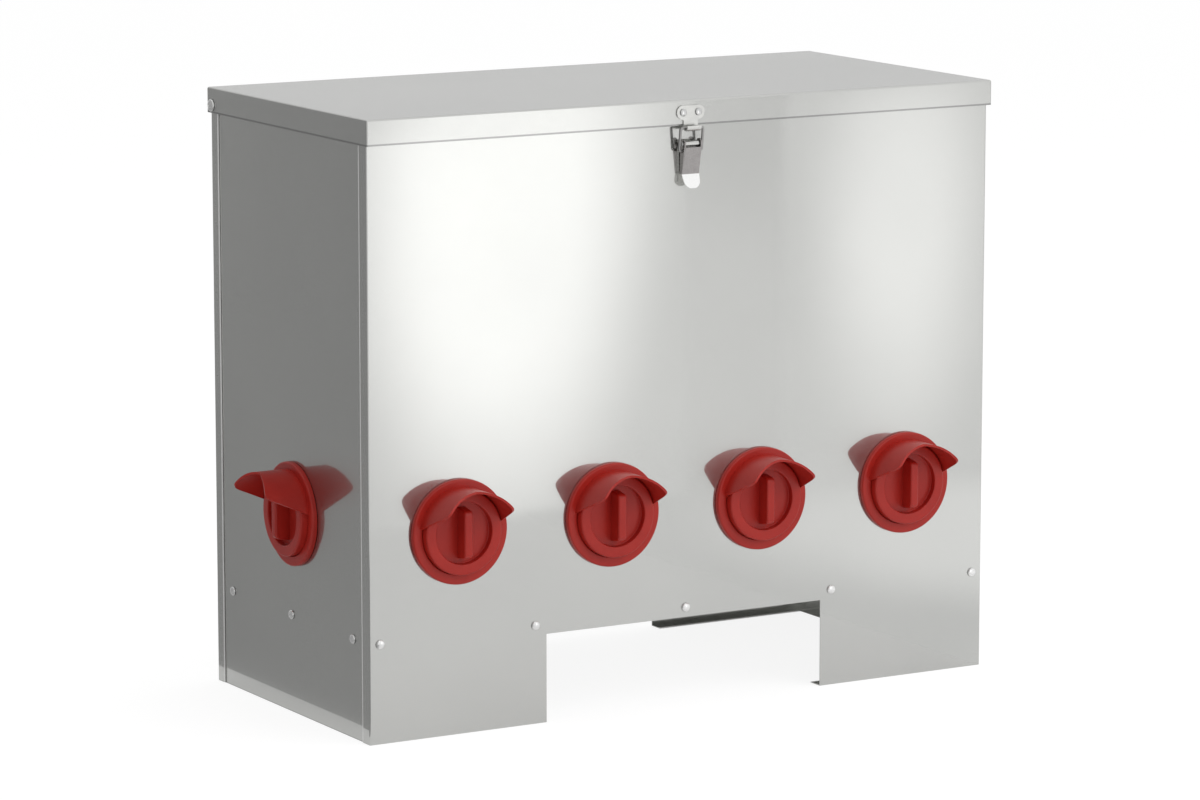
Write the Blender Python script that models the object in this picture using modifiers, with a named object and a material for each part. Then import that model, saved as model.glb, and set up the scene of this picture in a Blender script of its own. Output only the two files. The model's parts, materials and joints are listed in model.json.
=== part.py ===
"""A galvanised hopper feeder for poultry, with round feeding ports, a hinged lid and a draw latch.

Units are metres and +Z is up. The wall with the row of ports faces -Y. The sheet body stands on the
bottom flanges of its four legs, and every port is a red moulded fitting with a rain visor outside, a
ring nut inside and a plug cap with a grip bar.
"""

import math

import bmesh
import bpy
from mathutils import Matrix, Vector

# Sheet body
BODY_WIDTH = 0.6164
BODY_DEPTH = 0.2886
TOTAL_HEIGHT = 0.5263
SHEET = 0.0008
GAP = 0.0003
BEND_INSIDE = 0.0007
WRAP = 0.0135
FOOT_FLANGE = 0.015
TOP_HEM = 0.012
LEG_WIDTH = 0.170
LEG_HEIGHT = 0.077

# Lid and its two pivot bolts
LID_SIDE_CLEARANCE = 0.0010
LID_FRONT_CLEARANCE = 0.0041
LID_BACK_CLEARANCE = 0.0033
LID_HEADROOM = 0.0015
LID_SKIRT = 0.022
LID_REAR_LIP = 0.0060
HINGE_DROP = 0.0153
BOLT_RADIUS = 0.0020
BOLT_HEAD_RADIUS = 0.0053
BOLT_HEAD_HEIGHT = 0.0030
BOLT_NUT_RADIUS = 0.0041
BOLT_NUT_HEIGHT = 0.0032
BOLT_NUT_CLEARANCE = 0.0006
BOLT_TAIL = 0.0018

# Floor tray and its screws
TRAY_ABOVE_GATE = 0.0010
SCREW_ABOVE_TRAY_EDGE = 0.0075
TRAY_ABOVE_SCREW = 0.0085
SCREW_RADIUS = 0.0017
SCREW_HEAD_RADIUS = 0.0040
SCREW_HEAD_HEIGHT = 0.0024
SCREW_LENGTH = 0.0060
SCREW_FIT = 0.0002
FRONT_SCREWS = 5
SIDE_SCREWS = 3
FRONT_SCREW_MARGIN = 0.0102
SIDE_SCREW_MARGIN = 0.0308

# Feeding ports
FRONT_PORTS = 4
PORT_ROW_MARGIN = 0.0102
PORT_ABOVE_TRAY = 0.0805
SIDE_PORT_FORWARD = 0.005
BORE_RADIUS = 0.032
SLEEVE_WALL = 0.003
FLANGE_RIM = 0.00595
FLANGE_THICKNESS = 0.0050
FLANGE_CHAMFER = 0.0008
POCKET_FLOOR = 0.0012
SCOOP_LENGTH = 0.0574
SCOOP_END_WALL = 0.0024
SCOOP_MOUTH_START = 0.011
SCOOP_MOUTH_LEVEL = 0.004
VISOR_WALL = 0.0023
VISOR_STEP = 0.00025
VISOR_FLARE = 0.0006
VISOR_TOP_REACH = 0.034
VISOR_TIP_REACH = 0.046
VISOR_TIP_ANGLE = math.radians(57)
VISOR_FOOT_ANGLE = math.radians(81)
VISOR_TIP_ROUND = 0.0022
RING_NUT_FIT = 0.0003
RING_NUT_WIDTH = 0.0060
RING_NUT_THICKNESS = 0.0060
RING_NUT_LUG = 0.0020
RING_NUT_LUGS = 6
LUG_SHARE_OF_PITCH = 0.25
FLANK_SHARE_OF_PITCH = 0.075

# Plug caps
CAP_SEAT = 0.004
CAP_FIT = 0.0005
CAP_FACE = 0.0116
CAP_CHAMFER = 0.0012
CAP_RIM = 0.0095
CAP_RECESS_DEPTH = 0.0055
CAP_WEB = 0.0025
PLUG_WALL = 0.0025
PLUG_DEPTH = 0.0080
SEAL_THICKNESS = 0.0016
GRIP_WIDTH = 0.0080
GRIP_PROUD = 0.0080
GRIP_END_SLOPE = 0.0077
GRIP_ROOT = 0.0012
GRIP_ROUND = 0.0020

# Draw latch
LATCH_SHEET = 0.0010
RIVET_SPACING = 0.0150
RIVET_DROP = 0.0107
RIVET_RADIUS = 0.0015
RIVET_HEAD_RADIUS = 0.0032
RIVET_HEAD_HEIGHT = 0.0014
RIVET_TAIL_RIM = 0.0010
RIVET_FIT = 0.0002
CATCH_LOBE = 0.0062
CATCH_LOBE_START = math.radians(-60)
CATCH_LOBE_END = math.radians(108)
CATCH_NECK_STEP = 0.0006
CATCH_NECK_CLEARANCE = 0.0029
HOOK_ROOM = 0.0015
HOOK_LIP = 0.0010
BAR_BELOW_SKIRT = 0.0016
BAIL_WIRE = 0.0024
BAIL_BEND = 0.0022
BAIL_SIDE_CLEARANCE = 0.0004
BAIL_PLAY = 0.0003
BAIL_LENGTH = 0.0201
PIN_ABOVE_BAIL = 0.0064
PIN_OUT_OF_BAIL = 0.0012
PIN_RADIUS = 0.0013
PIN_HEAD_RIM = 0.0008
PIN_HEAD_LENGTH = 0.0007
PIN_FIT = 0.0002
KNUCKLE_WALL = 0.0010
KNUCKLE_CLEARANCE = 0.0010
BASE_WIDTH = 0.0180
BASE_LENGTH = 0.0330
BASE_RIVET_PITCH = 0.0110
BASE_RIVET_EDGE = 0.0060
LEVER_WIDTH = 0.0170
LEVER_LENGTH = 0.0305
LEVER_NOSE = 0.0042
LEVER_WEB_TOP = 0.0019
LEVER_WEB_CLEARANCE = 0.0007
LEVER_BACK_CLEARANCE = 0.0012
LEVER_TOE_DEPTH = 0.0030
LEVER_LEAN = 0.0030
CHEEK_END_RISE = 0.0020
TONGUE_LENGTH = 0.0110
TONGUE_KICK = 0.0050
TONGUE_RADIUS = 0.0063

# Shape of every domed head, as shares of its radius and height
DOME_SHOULDER_RADIUS = 0.62
DOME_SHOULDER_HEIGHT = 0.78
DOME_RIM_HEIGHT = 0.18

# Facets
ROUND_SIDES = 26
RING_SIDES = 18
VISOR_COLUMNS = 26
SHAFT_SIDES = 8
KNUCKLE_SIDES = 16
LOBE_STEPS = 6
HOOK_STEPS = 8
ARC_STEPS = 4
CORNER_STEPS = 2
SMOOTH_ANGLE = math.radians(32)

# Working lengths that leave no mark on the finished pieces
MERGE = 0.000001
OFF_PLANE = 0.00001
CUT_MARGIN = 0.010

# Places that follow from the sizes
BODY_TOP = TOTAL_HEIGHT - SHEET - LID_HEADROOM
BEND = SHEET + BEND_INSIDE
SIDE_FACE = BODY_WIDTH / 2 - SHEET - GAP
SIDE_INSIDE = SIDE_FACE - SHEET - GAP
LID_FRONT = BODY_DEPTH / 2 + LID_FRONT_CLEARANCE + SHEET
LID_BACK = BODY_DEPTH / 2 + LID_BACK_CLEARANCE + SHEET
LID_HALF_WIDTH = BODY_WIDTH / 2 + LID_SIDE_CLEARANCE + SHEET
HINGE_Y = BODY_DEPTH / 2 - SHEET - BOLT_NUT_RADIUS - BOLT_NUT_CLEARANCE
HINGE_Z = TOTAL_HEIGHT - HINGE_DROP
TRAY_FOOT = LEG_HEIGHT + TRAY_ABOVE_GATE
SCREW_HEIGHT = TRAY_FOOT + SCREW_ABOVE_TRAY_EDGE
TRAY_TOP = SCREW_HEIGHT + TRAY_ABOVE_SCREW
PORT_HEIGHT = TRAY_TOP + PORT_ABOVE_TRAY
SLEEVE_RADIUS = BORE_RADIUS + SLEEVE_WALL
CAP_RADIUS = BORE_RADIUS + CAP_SEAT
POCKET_RADIUS = CAP_RADIUS + CAP_FIT
PLUG_RADIUS = BORE_RADIUS - CAP_FIT
VISOR_RADIUS = POCKET_RADIUS + VISOR_WALL + VISOR_STEP
FLANGE_RADIUS = VISOR_RADIUS + FLANGE_RIM
VISOR_FOOT = FLANGE_THICKNESS / 2
SEAL_BACK = POCKET_FLOOR + GAP
CAP_SHOULDER = SEAL_BACK + SEAL_THICKNESS + GAP
CAP_FLOOR = CAP_FACE - CAP_RECESS_DEPTH
CAP_RECESS_RADIUS = CAP_RADIUS - CAP_RIM
RIVET_HEIGHT = TOTAL_HEIGHT - RIVET_DROP
RIVET_GRIP = LATCH_SHEET + GAP + SHEET
CATCH_BACK = LID_FRONT - BODY_DEPTH / 2 + GAP
CATCH_FACE = CATCH_BACK + LATCH_SHEET
HOOK_RADIUS = BAIL_WIRE / 2 + HOOK_ROOM
BAR_OUT = CATCH_FACE + GAP + BAIL_PLAY + BAIL_WIRE / 2
BAR_HEIGHT = TOTAL_HEIGHT - LID_SKIRT - BAR_BELOW_SKIRT
PIN_OUT = GAP + LATCH_SHEET + LEVER_BACK_CLEARANCE + LEVER_NOSE
PIN_HEIGHT = BAR_HEIGHT - BAIL_LENGTH + PIN_ABOVE_BAIL
BAIL_LEAN = BAR_OUT - PIN_OUT + PIN_OUT_OF_BAIL
BAIL_HALF_WIDTH = (
    LEVER_WIDTH / 2 + GAP + PIN_HEAD_LENGTH + BAIL_SIDE_CLEARANCE + BAIL_WIRE / 2
)
CATCH_NECK_HALF = BAIL_HALF_WIDTH - BAIL_WIRE / 2 - CATCH_NECK_CLEARANCE
PIN_BORE = PIN_RADIUS + PIN_FIT
KNUCKLE_RADIUS = PIN_BORE + KNUCKLE_WALL
KNUCKLE_HALF = LEVER_WIDTH / 2 - LATCH_SHEET - KNUCKLE_CLEARANCE
LEVER_DEPTH = KNUCKLE_RADIUS + LEVER_WEB_CLEARANCE

# Turns an outline drawn in XY to stand up, facing -Y or seen from the side
UPRIGHT = Matrix(((1, 0, 0, 0), (0, 0, -1, 0), (0, 1, 0, 0), (0, 0, 0, 1)))
ON_EDGE = Matrix(((0, 0, 1, 0), (1, 0, 0, 0), (0, 1, 0, 0), (0, 0, 0, 1)))
SIDE_VIEW = Matrix(((0, 0, 1, 0), (-1, 0, 0, 0), (0, 1, 0, 0), (0, 0, 0, 1)))
FACING_OUT = (math.pi / 2, 0.0, 0.0)


def clear_scene():
    for obj in list(bpy.data.objects):
        bpy.data.objects.remove(obj, do_unlink=True)
    for group in list(bpy.data.collections):
        bpy.data.collections.remove(group)


clear_scene()
PARTS = bpy.data.collections.new("poultry_feeder")
CUTTERS = bpy.data.collections.new("cutters")
bpy.context.scene.collection.children.link(PARTS)
bpy.context.scene.collection.children.link(CUTTERS)


def surface(name, colour, roughness, metallic):
    """A plain finish: base colour, roughness and metallic value."""
    finish = bpy.data.materials.new(name)
    finish.use_nodes = True
    shader = finish.node_tree.nodes["Principled BSDF"]
    shader.inputs["Base Color"].default_value = (*colour, 1.0)
    shader.inputs["Roughness"].default_value = roughness
    shader.inputs["Metallic"].default_value = metallic
    finish.diffuse_color = (*colour, 1.0)
    return finish


def wall_steel(name):
    return surface(name, (0.62, 0.63, 0.62), 0.35, 1.0)


def zinc(name):
    return surface(name, (0.74, 0.74, 0.72), 0.28, 1.0)


def red_plastic(name):
    return surface(name, (0.42, 0.035, 0.025), 0.38, 0.0)


def seal_rubber(name):
    return surface(name, (0.03, 0.03, 0.03), 0.7, 0.0)


def add_empty(name, location, turn=0.0, parent=None):
    empty = bpy.data.objects.new(name, None)
    empty.location = location
    empty.rotation_euler = (0.0, 0.0, turn)
    empty.parent = parent
    empty.empty_display_size = 0.02
    PARTS.objects.link(empty)
    return empty


def add_mesh(name, bm):
    mesh = bpy.data.meshes.new(name)
    bm.to_mesh(mesh)
    bm.free()
    obj = bpy.data.objects.new(name, mesh)
    PARTS.objects.link(obj)
    return obj


def baked(obj):
    """The object with its modifiers, or its curve, turned into one plain welded mesh."""
    bpy.context.view_layer.update()
    graph = bpy.context.evaluated_depsgraph_get()
    mesh = bpy.data.meshes.new_from_object(obj.evaluated_get(graph), depsgraph=graph)
    bm = bmesh.new()
    bm.from_mesh(mesh)
    bmesh.ops.remove_doubles(bm, verts=bm.verts, dist=MERGE)
    bm.to_mesh(mesh)
    bm.free()
    name = obj.name
    result = bpy.data.objects.new(name, mesh)
    result.matrix_world = obj.matrix_world
    PARTS.objects.link(result)
    bpy.data.objects.remove(obj, do_unlink=True)
    result.name = name
    mesh.name = name
    return result


def block(low, high):
    """A bmesh box between two corners."""
    bm = bmesh.new()
    low, high = Vector(low), Vector(high)
    matrix = Matrix.Translation((low + high) / 2) @ Matrix.Diagonal((*(high - low), 1.0))
    bmesh.ops.create_cube(bm, size=1.0, matrix=matrix)
    return bm


def add_block(name, low, high):
    return add_mesh(name, block(low, high))


def outline_solid(name, loops, thickness):
    """Flat closed outlines in local XY, filled between them and given a thickness about z = 0."""
    curve = bpy.data.curves.new(name, "CURVE")
    curve.dimensions = "2D"
    curve.fill_mode = "BOTH"
    curve.extrude = thickness / 2
    for points in loops:
        spline = curve.splines.new("POLY")
        spline.points.add(len(points) - 1)
        for point, (x, y) in zip(spline.points, points):
            point.co = (x, y, 0.0, 1.0)
        spline.use_cyclic_u = True
    obj = bpy.data.objects.new(name, curve)
    PARTS.objects.link(obj)
    return baked(obj)


def turned(name, profile, sides):
    """A profile of (radius, height) points turned about the Z axis, outer side running down."""
    mesh = bpy.data.meshes.new(name)
    mesh.from_pydata(
        [(radius, 0.0, height) for radius, height in profile],
        [(i, i + 1) for i in range(len(profile) - 1)],
        [],
    )
    obj = bpy.data.objects.new(name, mesh)
    PARTS.objects.link(obj)
    screw = obj.modifiers.new("turn", "SCREW")
    screw.steps = sides
    screw.render_steps = sides
    screw.use_merge_vertices = True
    screw.merge_threshold = MERGE
    screw.use_smooth_shade = True
    return baked(obj)


def arc(centre, radius, start, end, steps=ARC_STEPS):
    """Points along an arc, both ends included, with the angles in radians."""
    return [
        (
            centre[0] + radius * math.cos(start + (end - start) * i / steps),
            centre[1] + radius * math.sin(start + (end - start) * i / steps),
        )
        for i in range(steps + 1)
    ]


def circle(radius, sides, centre=(0.0, 0.0)):
    return arc(centre, radius, 0.0, 2 * math.pi, sides)[:-1]


def round_about(radius, sides):
    """The radius of a polygon whose flats just clear a circle."""
    return radius / math.cos(math.pi / sides)


def rounded_corner(before, corner, after, cut):
    """Points on a quadratic curve that starts and ends a cut away from a corner."""
    a, b, c = Vector(before), Vector(corner), Vector(after)
    start = b + (a - b).normalized() * cut
    end = b + (c - b).normalized() * cut
    points = []
    for i in range(CORNER_STEPS + 1):
        t = i / CORNER_STEPS
        points.append(tuple(start * (1 - t) ** 2 + b * 2 * t * (1 - t) + end * t**2))
    return points


def boolean(obj, other, operation):
    modifier = obj.modifiers.new(operation.lower(), "BOOLEAN")
    modifier.operation = operation
    modifier.solver = "EXACT"
    modifier.object = other


def as_cutter(obj):
    PARTS.objects.unlink(obj)
    CUTTERS.objects.link(obj)
    obj.hide_render = True
    obj.display_type = "WIRE"
    return obj


def combined(obj, others, operation):
    """The object after one kind of Boolean with each of the others, which are then removed."""
    for other in others:
        boolean(obj, other, operation)
    result = baked(obj)
    for other in others:
        bpy.data.objects.remove(other, do_unlink=True)
    return result


def joined(obj, *others):
    return combined(obj, others, "UNION")


def cut(obj, *cutters):
    return combined(obj, [as_cutter(cutter) for cutter in cutters], "DIFFERENCE")


def holes(name, places, sides, length=2 * CUT_MARGIN):
    """One cutter with a hole for each (centre, direction, radius), whose flats lie at the radius."""
    bm = bmesh.new()
    for centre, direction, radius in places:
        turn = Vector(direction).to_track_quat("Z", "Y").to_matrix().to_4x4()
        bmesh.ops.create_cone(
            bm,
            cap_ends=True,
            segments=sides,
            radius1=round_about(radius, sides),
            radius2=round_about(radius, sides),
            depth=length,
            matrix=Matrix.Translation(centre) @ turn,
        )
    return add_mesh(name, bm)


def place(obj, parent, location=(0.0, 0.0, 0.0), rotation=(0.0, 0.0, 0.0)):
    obj.parent = parent
    obj.location = location
    obj.rotation_euler = rotation


def dress(obj, finish):
    obj.data.materials.clear()
    obj.data.materials.append(finish)
    obj.data.shade_smooth()
    obj.data.set_sharp_from_angle(angle=SMOOTH_ANGLE)


def copy_of(source, name):
    """Another object on the same mesh."""
    obj = bpy.data.objects.new(name, source.data)
    PARTS.objects.link(obj)
    return obj


def spread(count, half_span):
    """Places at an even pitch between two ends, or the middle for one."""
    if count == 1:
        return [0.0]
    return [half_span * (2 * i / (count - 1) - 1) for i in range(count)]


def front_port_places():
    pitch = (BODY_WIDTH - 2 * PORT_ROW_MARGIN) / FRONT_PORTS
    return spread(FRONT_PORTS, pitch * (FRONT_PORTS - 1) / 2)


def front_screw_places():
    return spread(FRONT_SCREWS, BODY_WIDTH / 2 - FRONT_SCREW_MARGIN)


def side_screw_places():
    return spread(SIDE_SCREWS, BODY_DEPTH / 2 - SIDE_SCREW_MARGIN)


def screw_holes(places):
    return [((x, 0, SCREW_HEIGHT), (0, 1, 0), SCREW_RADIUS + SCREW_FIT) for x in places]


def port_hole(x):
    return ((x, 0, PORT_HEIGHT), (0, 1, 0), SLEEVE_RADIUS + GAP)


def wall_outline():
    """The plan of a wide wall: a flat face whose two ends are bent round onto the side walls."""
    half = BODY_WIDTH / 2
    left = (-half + BEND, BEND)
    right = (half - BEND, BEND)
    outside = [(-half, WRAP)]
    outside += arc(left, BEND, math.pi, 1.5 * math.pi)
    outside += arc(right, BEND, 1.5 * math.pi, 2 * math.pi)
    outside += [(half, WRAP)]
    inside = [(half - SHEET, WRAP)]
    inside += arc(right, BEND_INSIDE, 2 * math.pi, 1.5 * math.pi)
    inside += arc(left, BEND_INSIDE, 1.5 * math.pi, math.pi)
    inside += [(-half + SHEET, WRAP)]
    return outside + inside


def flanged(wall, foot_half, hem_half):
    """A wall with its inward foot flange and top hem joined on, each with its own half length."""
    foot = add_block("foot", (-foot_half, SHEET / 2, 0), (foot_half, FOOT_FLANGE, SHEET))
    hem = add_block("hem", (-hem_half, SHEET / 2, BODY_TOP - SHEET), (hem_half, TOP_HEM, BODY_TOP))
    return joined(wall, foot, hem)


def wide_wall(name):
    """A wide wall in its own frame: outer face at y = 0 facing -Y, foot at z = 0."""
    wall = outline_solid(name, [wall_outline()], BODY_TOP)
    wall.data.transform(Matrix.Translation((0, 0, BODY_TOP / 2)))
    end = BODY_WIDTH / 2 - 2 * (SHEET + GAP)
    wall = flanged(wall, end, end)
    opening = BODY_WIDTH / 2 - LEG_WIDTH
    low = (-opening, -CUT_MARGIN, -CUT_MARGIN)
    high = (opening, FOOT_FLANGE + CUT_MARGIN, LEG_HEIGHT)
    return cut(wall, add_block("gate", low, high))


def add_front_wall(frame):
    ports = [port_hole(x) for x in front_port_places()]
    rivets = [((0, 0, z), (0, 1, 0), RIVET_RADIUS + RIVET_FIT) for z in base_rivet_heights()]
    wall = cut(
        wide_wall("front_panel"),
        holes("front_port_holes", ports, ROUND_SIDES),
        holes("front_small_holes", screw_holes(front_screw_places()) + rivets, SHAFT_SIDES),
    )
    dress(wall, wall_steel("front_panel_steel"))
    place(wall, frame)


def add_back_wall(frame):
    """The back wall, whose wrapped ends the lid's pivot bolts pass through."""
    setback = BODY_DEPTH / 2 - HINGE_Y
    bolts = [
        ((side * BODY_WIDTH / 2, setback, HINGE_Z), (1, 0, 0), BOLT_RADIUS + SCREW_FIT)
        for side in (-1, 1)
    ]
    small = holes("back_small_holes", screw_holes(front_screw_places()) + bolts, SHAFT_SIDES)
    wall = cut(wide_wall("back_panel"), small)
    dress(wall, wall_steel("back_panel_steel"))
    place(wall, frame)


def add_side_wall(name, frame, forward):
    """A narrow wall in its own frame, outer face at y = 0; forward is -1 or 1 along its x."""
    half = BODY_DEPTH / 2 - SHEET - GAP
    wall = add_block(name, (-half, 0, 0), (half, SHEET, BODY_TOP))
    wall = flanged(wall, BODY_DEPTH / 2 - FOOT_FLANGE - GAP, BODY_DEPTH / 2 - TOP_HEM - GAP)
    bolt = ((-forward * HINGE_Y, 0, HINGE_Z), (0, 1, 0), BOLT_RADIUS + SCREW_FIT)
    wall = cut(
        wall,
        holes(name + "_port_hole", [port_hole(forward * SIDE_PORT_FORWARD)], ROUND_SIDES),
        holes(name + "_small_holes", screw_holes(side_screw_places()) + [bolt], SHAFT_SIDES),
    )
    dress(wall, wall_steel(name + "_steel"))
    place(wall, frame)


def open_pan(name, low, high):
    """A pan between two corners, bent from one sheet and open at its foot."""
    bm = block(low, high)
    foot = min(bm.faces, key=lambda face: face.calc_center_median().z)
    bmesh.ops.delete(bm, geom=[foot], context="FACES_ONLY")
    bends = [edge for edge in bm.edges if len(edge.link_faces) == 2]
    bmesh.ops.bevel(bm, geom=bends, offset=BEND, segments=2, profile=0.5, affect="EDGES")
    pan = add_mesh(name, bm)
    shell = pan.modifiers.new("sheet", "SOLIDIFY")
    shell.thickness = SHEET
    shell.offset = -1.0
    shell.use_even_offset = True
    return baked(pan)


def add_floor_tray(origin):
    """The hopper's floor: a shallow pan whose flanges hang down inside the four walls."""
    half_y = BODY_DEPTH / 2 - SHEET - GAP
    tray = open_pan(
        "floor_tray", (-SIDE_INSIDE, -half_y, TRAY_FOOT), (SIDE_INSIDE, half_y, TRAY_TOP)
    )
    radius = SCREW_RADIUS + SCREW_FIT
    places = []
    for side in (-1, 1):
        for x in front_screw_places():
            places.append(((x, side * half_y, SCREW_HEIGHT), (0, 1, 0), radius))
        for y in side_screw_places():
            places.append(((side * SIDE_INSIDE, y, SCREW_HEIGHT), (1, 0, 0), radius))
    tray = cut(tray, holes("tray_holes", places, SHAFT_SIDES))
    dress(tray, wall_steel("floor_tray_steel"))
    place(tray, origin)


def add_lid(hinge):
    """The lid in the frame of its hinge, whose origin is on the axis of the two pivot bolts."""
    front = -LID_FRONT - HINGE_Y
    back = LID_BACK - HINGE_Y
    foot = HINGE_DROP - LID_SKIRT
    lid = open_pan("lid", (-LID_HALF_WIDTH, front, foot), (LID_HALF_WIDTH, back, HINGE_DROP))
    rear = add_block(
        "rear_skirt_cut",
        (-LID_HALF_WIDTH + BEND, back - 2 * BEND, foot - CUT_MARGIN),
        (LID_HALF_WIDTH - BEND, back + CUT_MARGIN, HINGE_DROP - LID_REAR_LIP),
    )
    places = [
        ((side * LID_HALF_WIDTH, 0, 0), (1, 0, 0), BOLT_RADIUS + SCREW_FIT) for side in (-1, 1)
    ]
    for x in catch_rivet_places():
        places.append(((x, front, RIVET_HEIGHT - HINGE_Z), (0, 1, 0), RIVET_RADIUS + RIVET_FIT))
    lid = cut(lid, rear, holes("lid_holes", places, SHAFT_SIDES))
    dress(lid, wall_steel("lid_steel"))
    place(lid, hinge)


def dome(radius, height):
    """The profile of a domed head that sits a gap above z = 0, from its crown to its rim."""
    return [
        (0.0, GAP + height),
        (DOME_SHOULDER_RADIUS * radius, GAP + DOME_SHOULDER_HEIGHT * height),
        (radius, GAP + DOME_RIM_HEIGHT * height),
        (radius, GAP),
    ]


def domed_fastener(name, head_radius, head_height, radius, length):
    """A domed head on a plain shank that runs down from it."""
    shank = [(radius, GAP), (radius, -length), (0.0, -length)]
    return turned(name, dome(head_radius, head_height) + shank, SHAFT_SIDES)


def rivet(name):
    """A rivet through the latch's sheet and a wall, with its formed tail a gap behind them."""
    tail = -RIVET_GRIP - GAP
    shank = [
        (RIVET_RADIUS, GAP),
        (RIVET_RADIUS, tail),
        (RIVET_RADIUS + RIVET_TAIL_RIM, tail),
        (RIVET_RADIUS + RIVET_TAIL_RIM, tail - LATCH_SHEET),
        (0.0, tail - LATCH_SHEET),
    ]
    return turned(name, dome(RIVET_HEAD_RADIUS, RIVET_HEAD_HEIGHT) + shank, SHAFT_SIDES)


def add_screws(frames):
    """The self-tapping screws that hold the floor tray, one wall after another."""
    rows = {
        "front": front_screw_places(),
        "back": front_screw_places(),
        "left": side_screw_places(),
        "right": side_screw_places(),
    }
    pattern = domed_fastener(
        "screw_pattern", SCREW_HEAD_RADIUS, SCREW_HEAD_HEIGHT, SCREW_RADIUS, SCREW_LENGTH
    )
    dress(pattern, zinc("tray_screw_zinc"))
    for wall, places in rows.items():
        for number, x in enumerate(places, 1):
            screw = copy_of(pattern, f"tray_screw_{wall}_{number}")
            place(screw, frames[wall], (x, 0, SCREW_HEIGHT), FACING_OUT)
    bpy.data.objects.remove(pattern, do_unlink=True)


def add_lid_bolts(origin):
    """Each lid bolt passes lid, wrapped wall end and side wall, and has its nut inside."""
    nut_inside = SIDE_INSIDE - BOLT_NUT_HEIGHT
    length = LID_HALF_WIDTH - nut_inside + BOLT_TAIL
    bolt = domed_fastener(
        "lid_bolt_left", BOLT_HEAD_RADIUS, BOLT_HEAD_HEIGHT, BOLT_RADIUS, length
    )
    dress(bolt, zinc("lid_bolt_zinc"))
    bore = circle(round_about(BOLT_RADIUS + SCREW_FIT, SHAFT_SIDES), SHAFT_SIDES)
    nut = outline_solid("lid_nut_left", [circle(BOLT_NUT_RADIUS, 6), bore], BOLT_NUT_HEIGHT)
    dress(nut, zinc("lid_nut_zinc"))
    pieces = {
        -1: (bolt, nut),
        1: (copy_of(bolt, "lid_bolt_right"), copy_of(nut, "lid_nut_right")),
    }
    for side, (side_bolt, side_nut) in pieces.items():
        outward = (0, side * math.pi / 2, 0)
        place(side_bolt, origin, (side * LID_HALF_WIDTH, HINGE_Y, HINGE_Z), outward)
        middle = side * (nut_inside + BOLT_NUT_HEIGHT / 2)
        place(side_nut, origin, (middle, HINGE_Y, HINGE_Z), outward)


def visor_reach(angle):
    """How far the visor's lip stands out at an angle from the top: a bill with two wing tips."""
    turn = abs(angle)
    brow = VISOR_TOP_REACH + (VISOR_TIP_REACH - VISOR_TOP_REACH) * turn / VISOR_TIP_ANGLE
    slope = (VISOR_TIP_REACH - FLANGE_THICKNESS) / (VISOR_FOOT_ANGLE - VISOR_TIP_ANGLE)
    cheek = FLANGE_THICKNESS + slope * (VISOR_FOOT_ANGLE - turn)
    return -VISOR_TIP_ROUND * math.log(
        math.exp(-brow / VISOR_TIP_ROUND) + math.exp(-cheek / VISOR_TIP_ROUND)
    )


def visor_lip():
    """The lip's (angle, height) points from one foot of the visor over its top to the other."""
    angles = spread(VISOR_COLUMNS + 1, VISOR_FOOT_ANGLE)
    return [(angle, visor_reach(angle)) for angle in angles]


def visor_shell():
    """The visor as an open surface from its foot inside the flange to its lip, thickened inwards."""
    bm = bmesh.new()
    columns = []
    for angle, lip in visor_lip():
        column = []
        for height in (VISOR_FOOT, lip):
            rise = (height - VISOR_FOOT) / (VISOR_TIP_REACH - VISOR_FOOT)
            radius = VISOR_RADIUS + VISOR_FLARE * rise
            point = (radius * math.sin(angle), radius * math.cos(angle), height)
            column.append(bm.verts.new(point))
        columns.append(column)
    for left, right in zip(columns, columns[1:]):
        bm.faces.new((left[0], right[0], right[1], left[1]))
    bmesh.ops.recalc_face_normals(bm, faces=bm.faces)
    bm.faces.ensure_lookup_table()
    crown = bm.faces[VISOR_COLUMNS // 2]
    if crown.normal.y < 0:
        bmesh.ops.reverse_faces(bm, faces=bm.faces)
    shell = add_mesh("visor", bm)
    wall = shell.modifiers.new("wall", "SOLIDIFY")
    wall.thickness = VISOR_WALL
    wall.offset = -1.0
    wall.use_even_offset = True
    return baked(shell)


def port_body(name):
    """Flange, sleeve, scoop and visor of one port, with z pointing out of the wall and y up."""
    inner_end = -SCOOP_LENGTH + SCOOP_END_WALL
    profile = [
        (0.0, inner_end),
        (BORE_RADIUS, inner_end),
        (BORE_RADIUS, POCKET_FLOOR),
        (POCKET_RADIUS, POCKET_FLOOR),
        (POCKET_RADIUS, FLANGE_THICKNESS),
        (FLANGE_RADIUS - FLANGE_CHAMFER, FLANGE_THICKNESS),
        (FLANGE_RADIUS, FLANGE_THICKNESS - FLANGE_CHAMFER),
        (FLANGE_RADIUS, GAP),
        (SLEEVE_RADIUS, GAP),
        (SLEEVE_RADIUS, -SCOOP_LENGTH),
        (0.0, -SCOOP_LENGTH),
    ]
    body = joined(turned(name, profile, ROUND_SIDES), visor_shell())
    wide = SLEEVE_RADIUS + CUT_MARGIN
    mouth = add_block(
        "scoop_mouth",
        (-wide, SCOOP_MOUTH_LEVEL, -SCOOP_LENGTH - CUT_MARGIN),
        (wide, wide, -SCOOP_MOUTH_START),
    )
    return cut(body, mouth)


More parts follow.
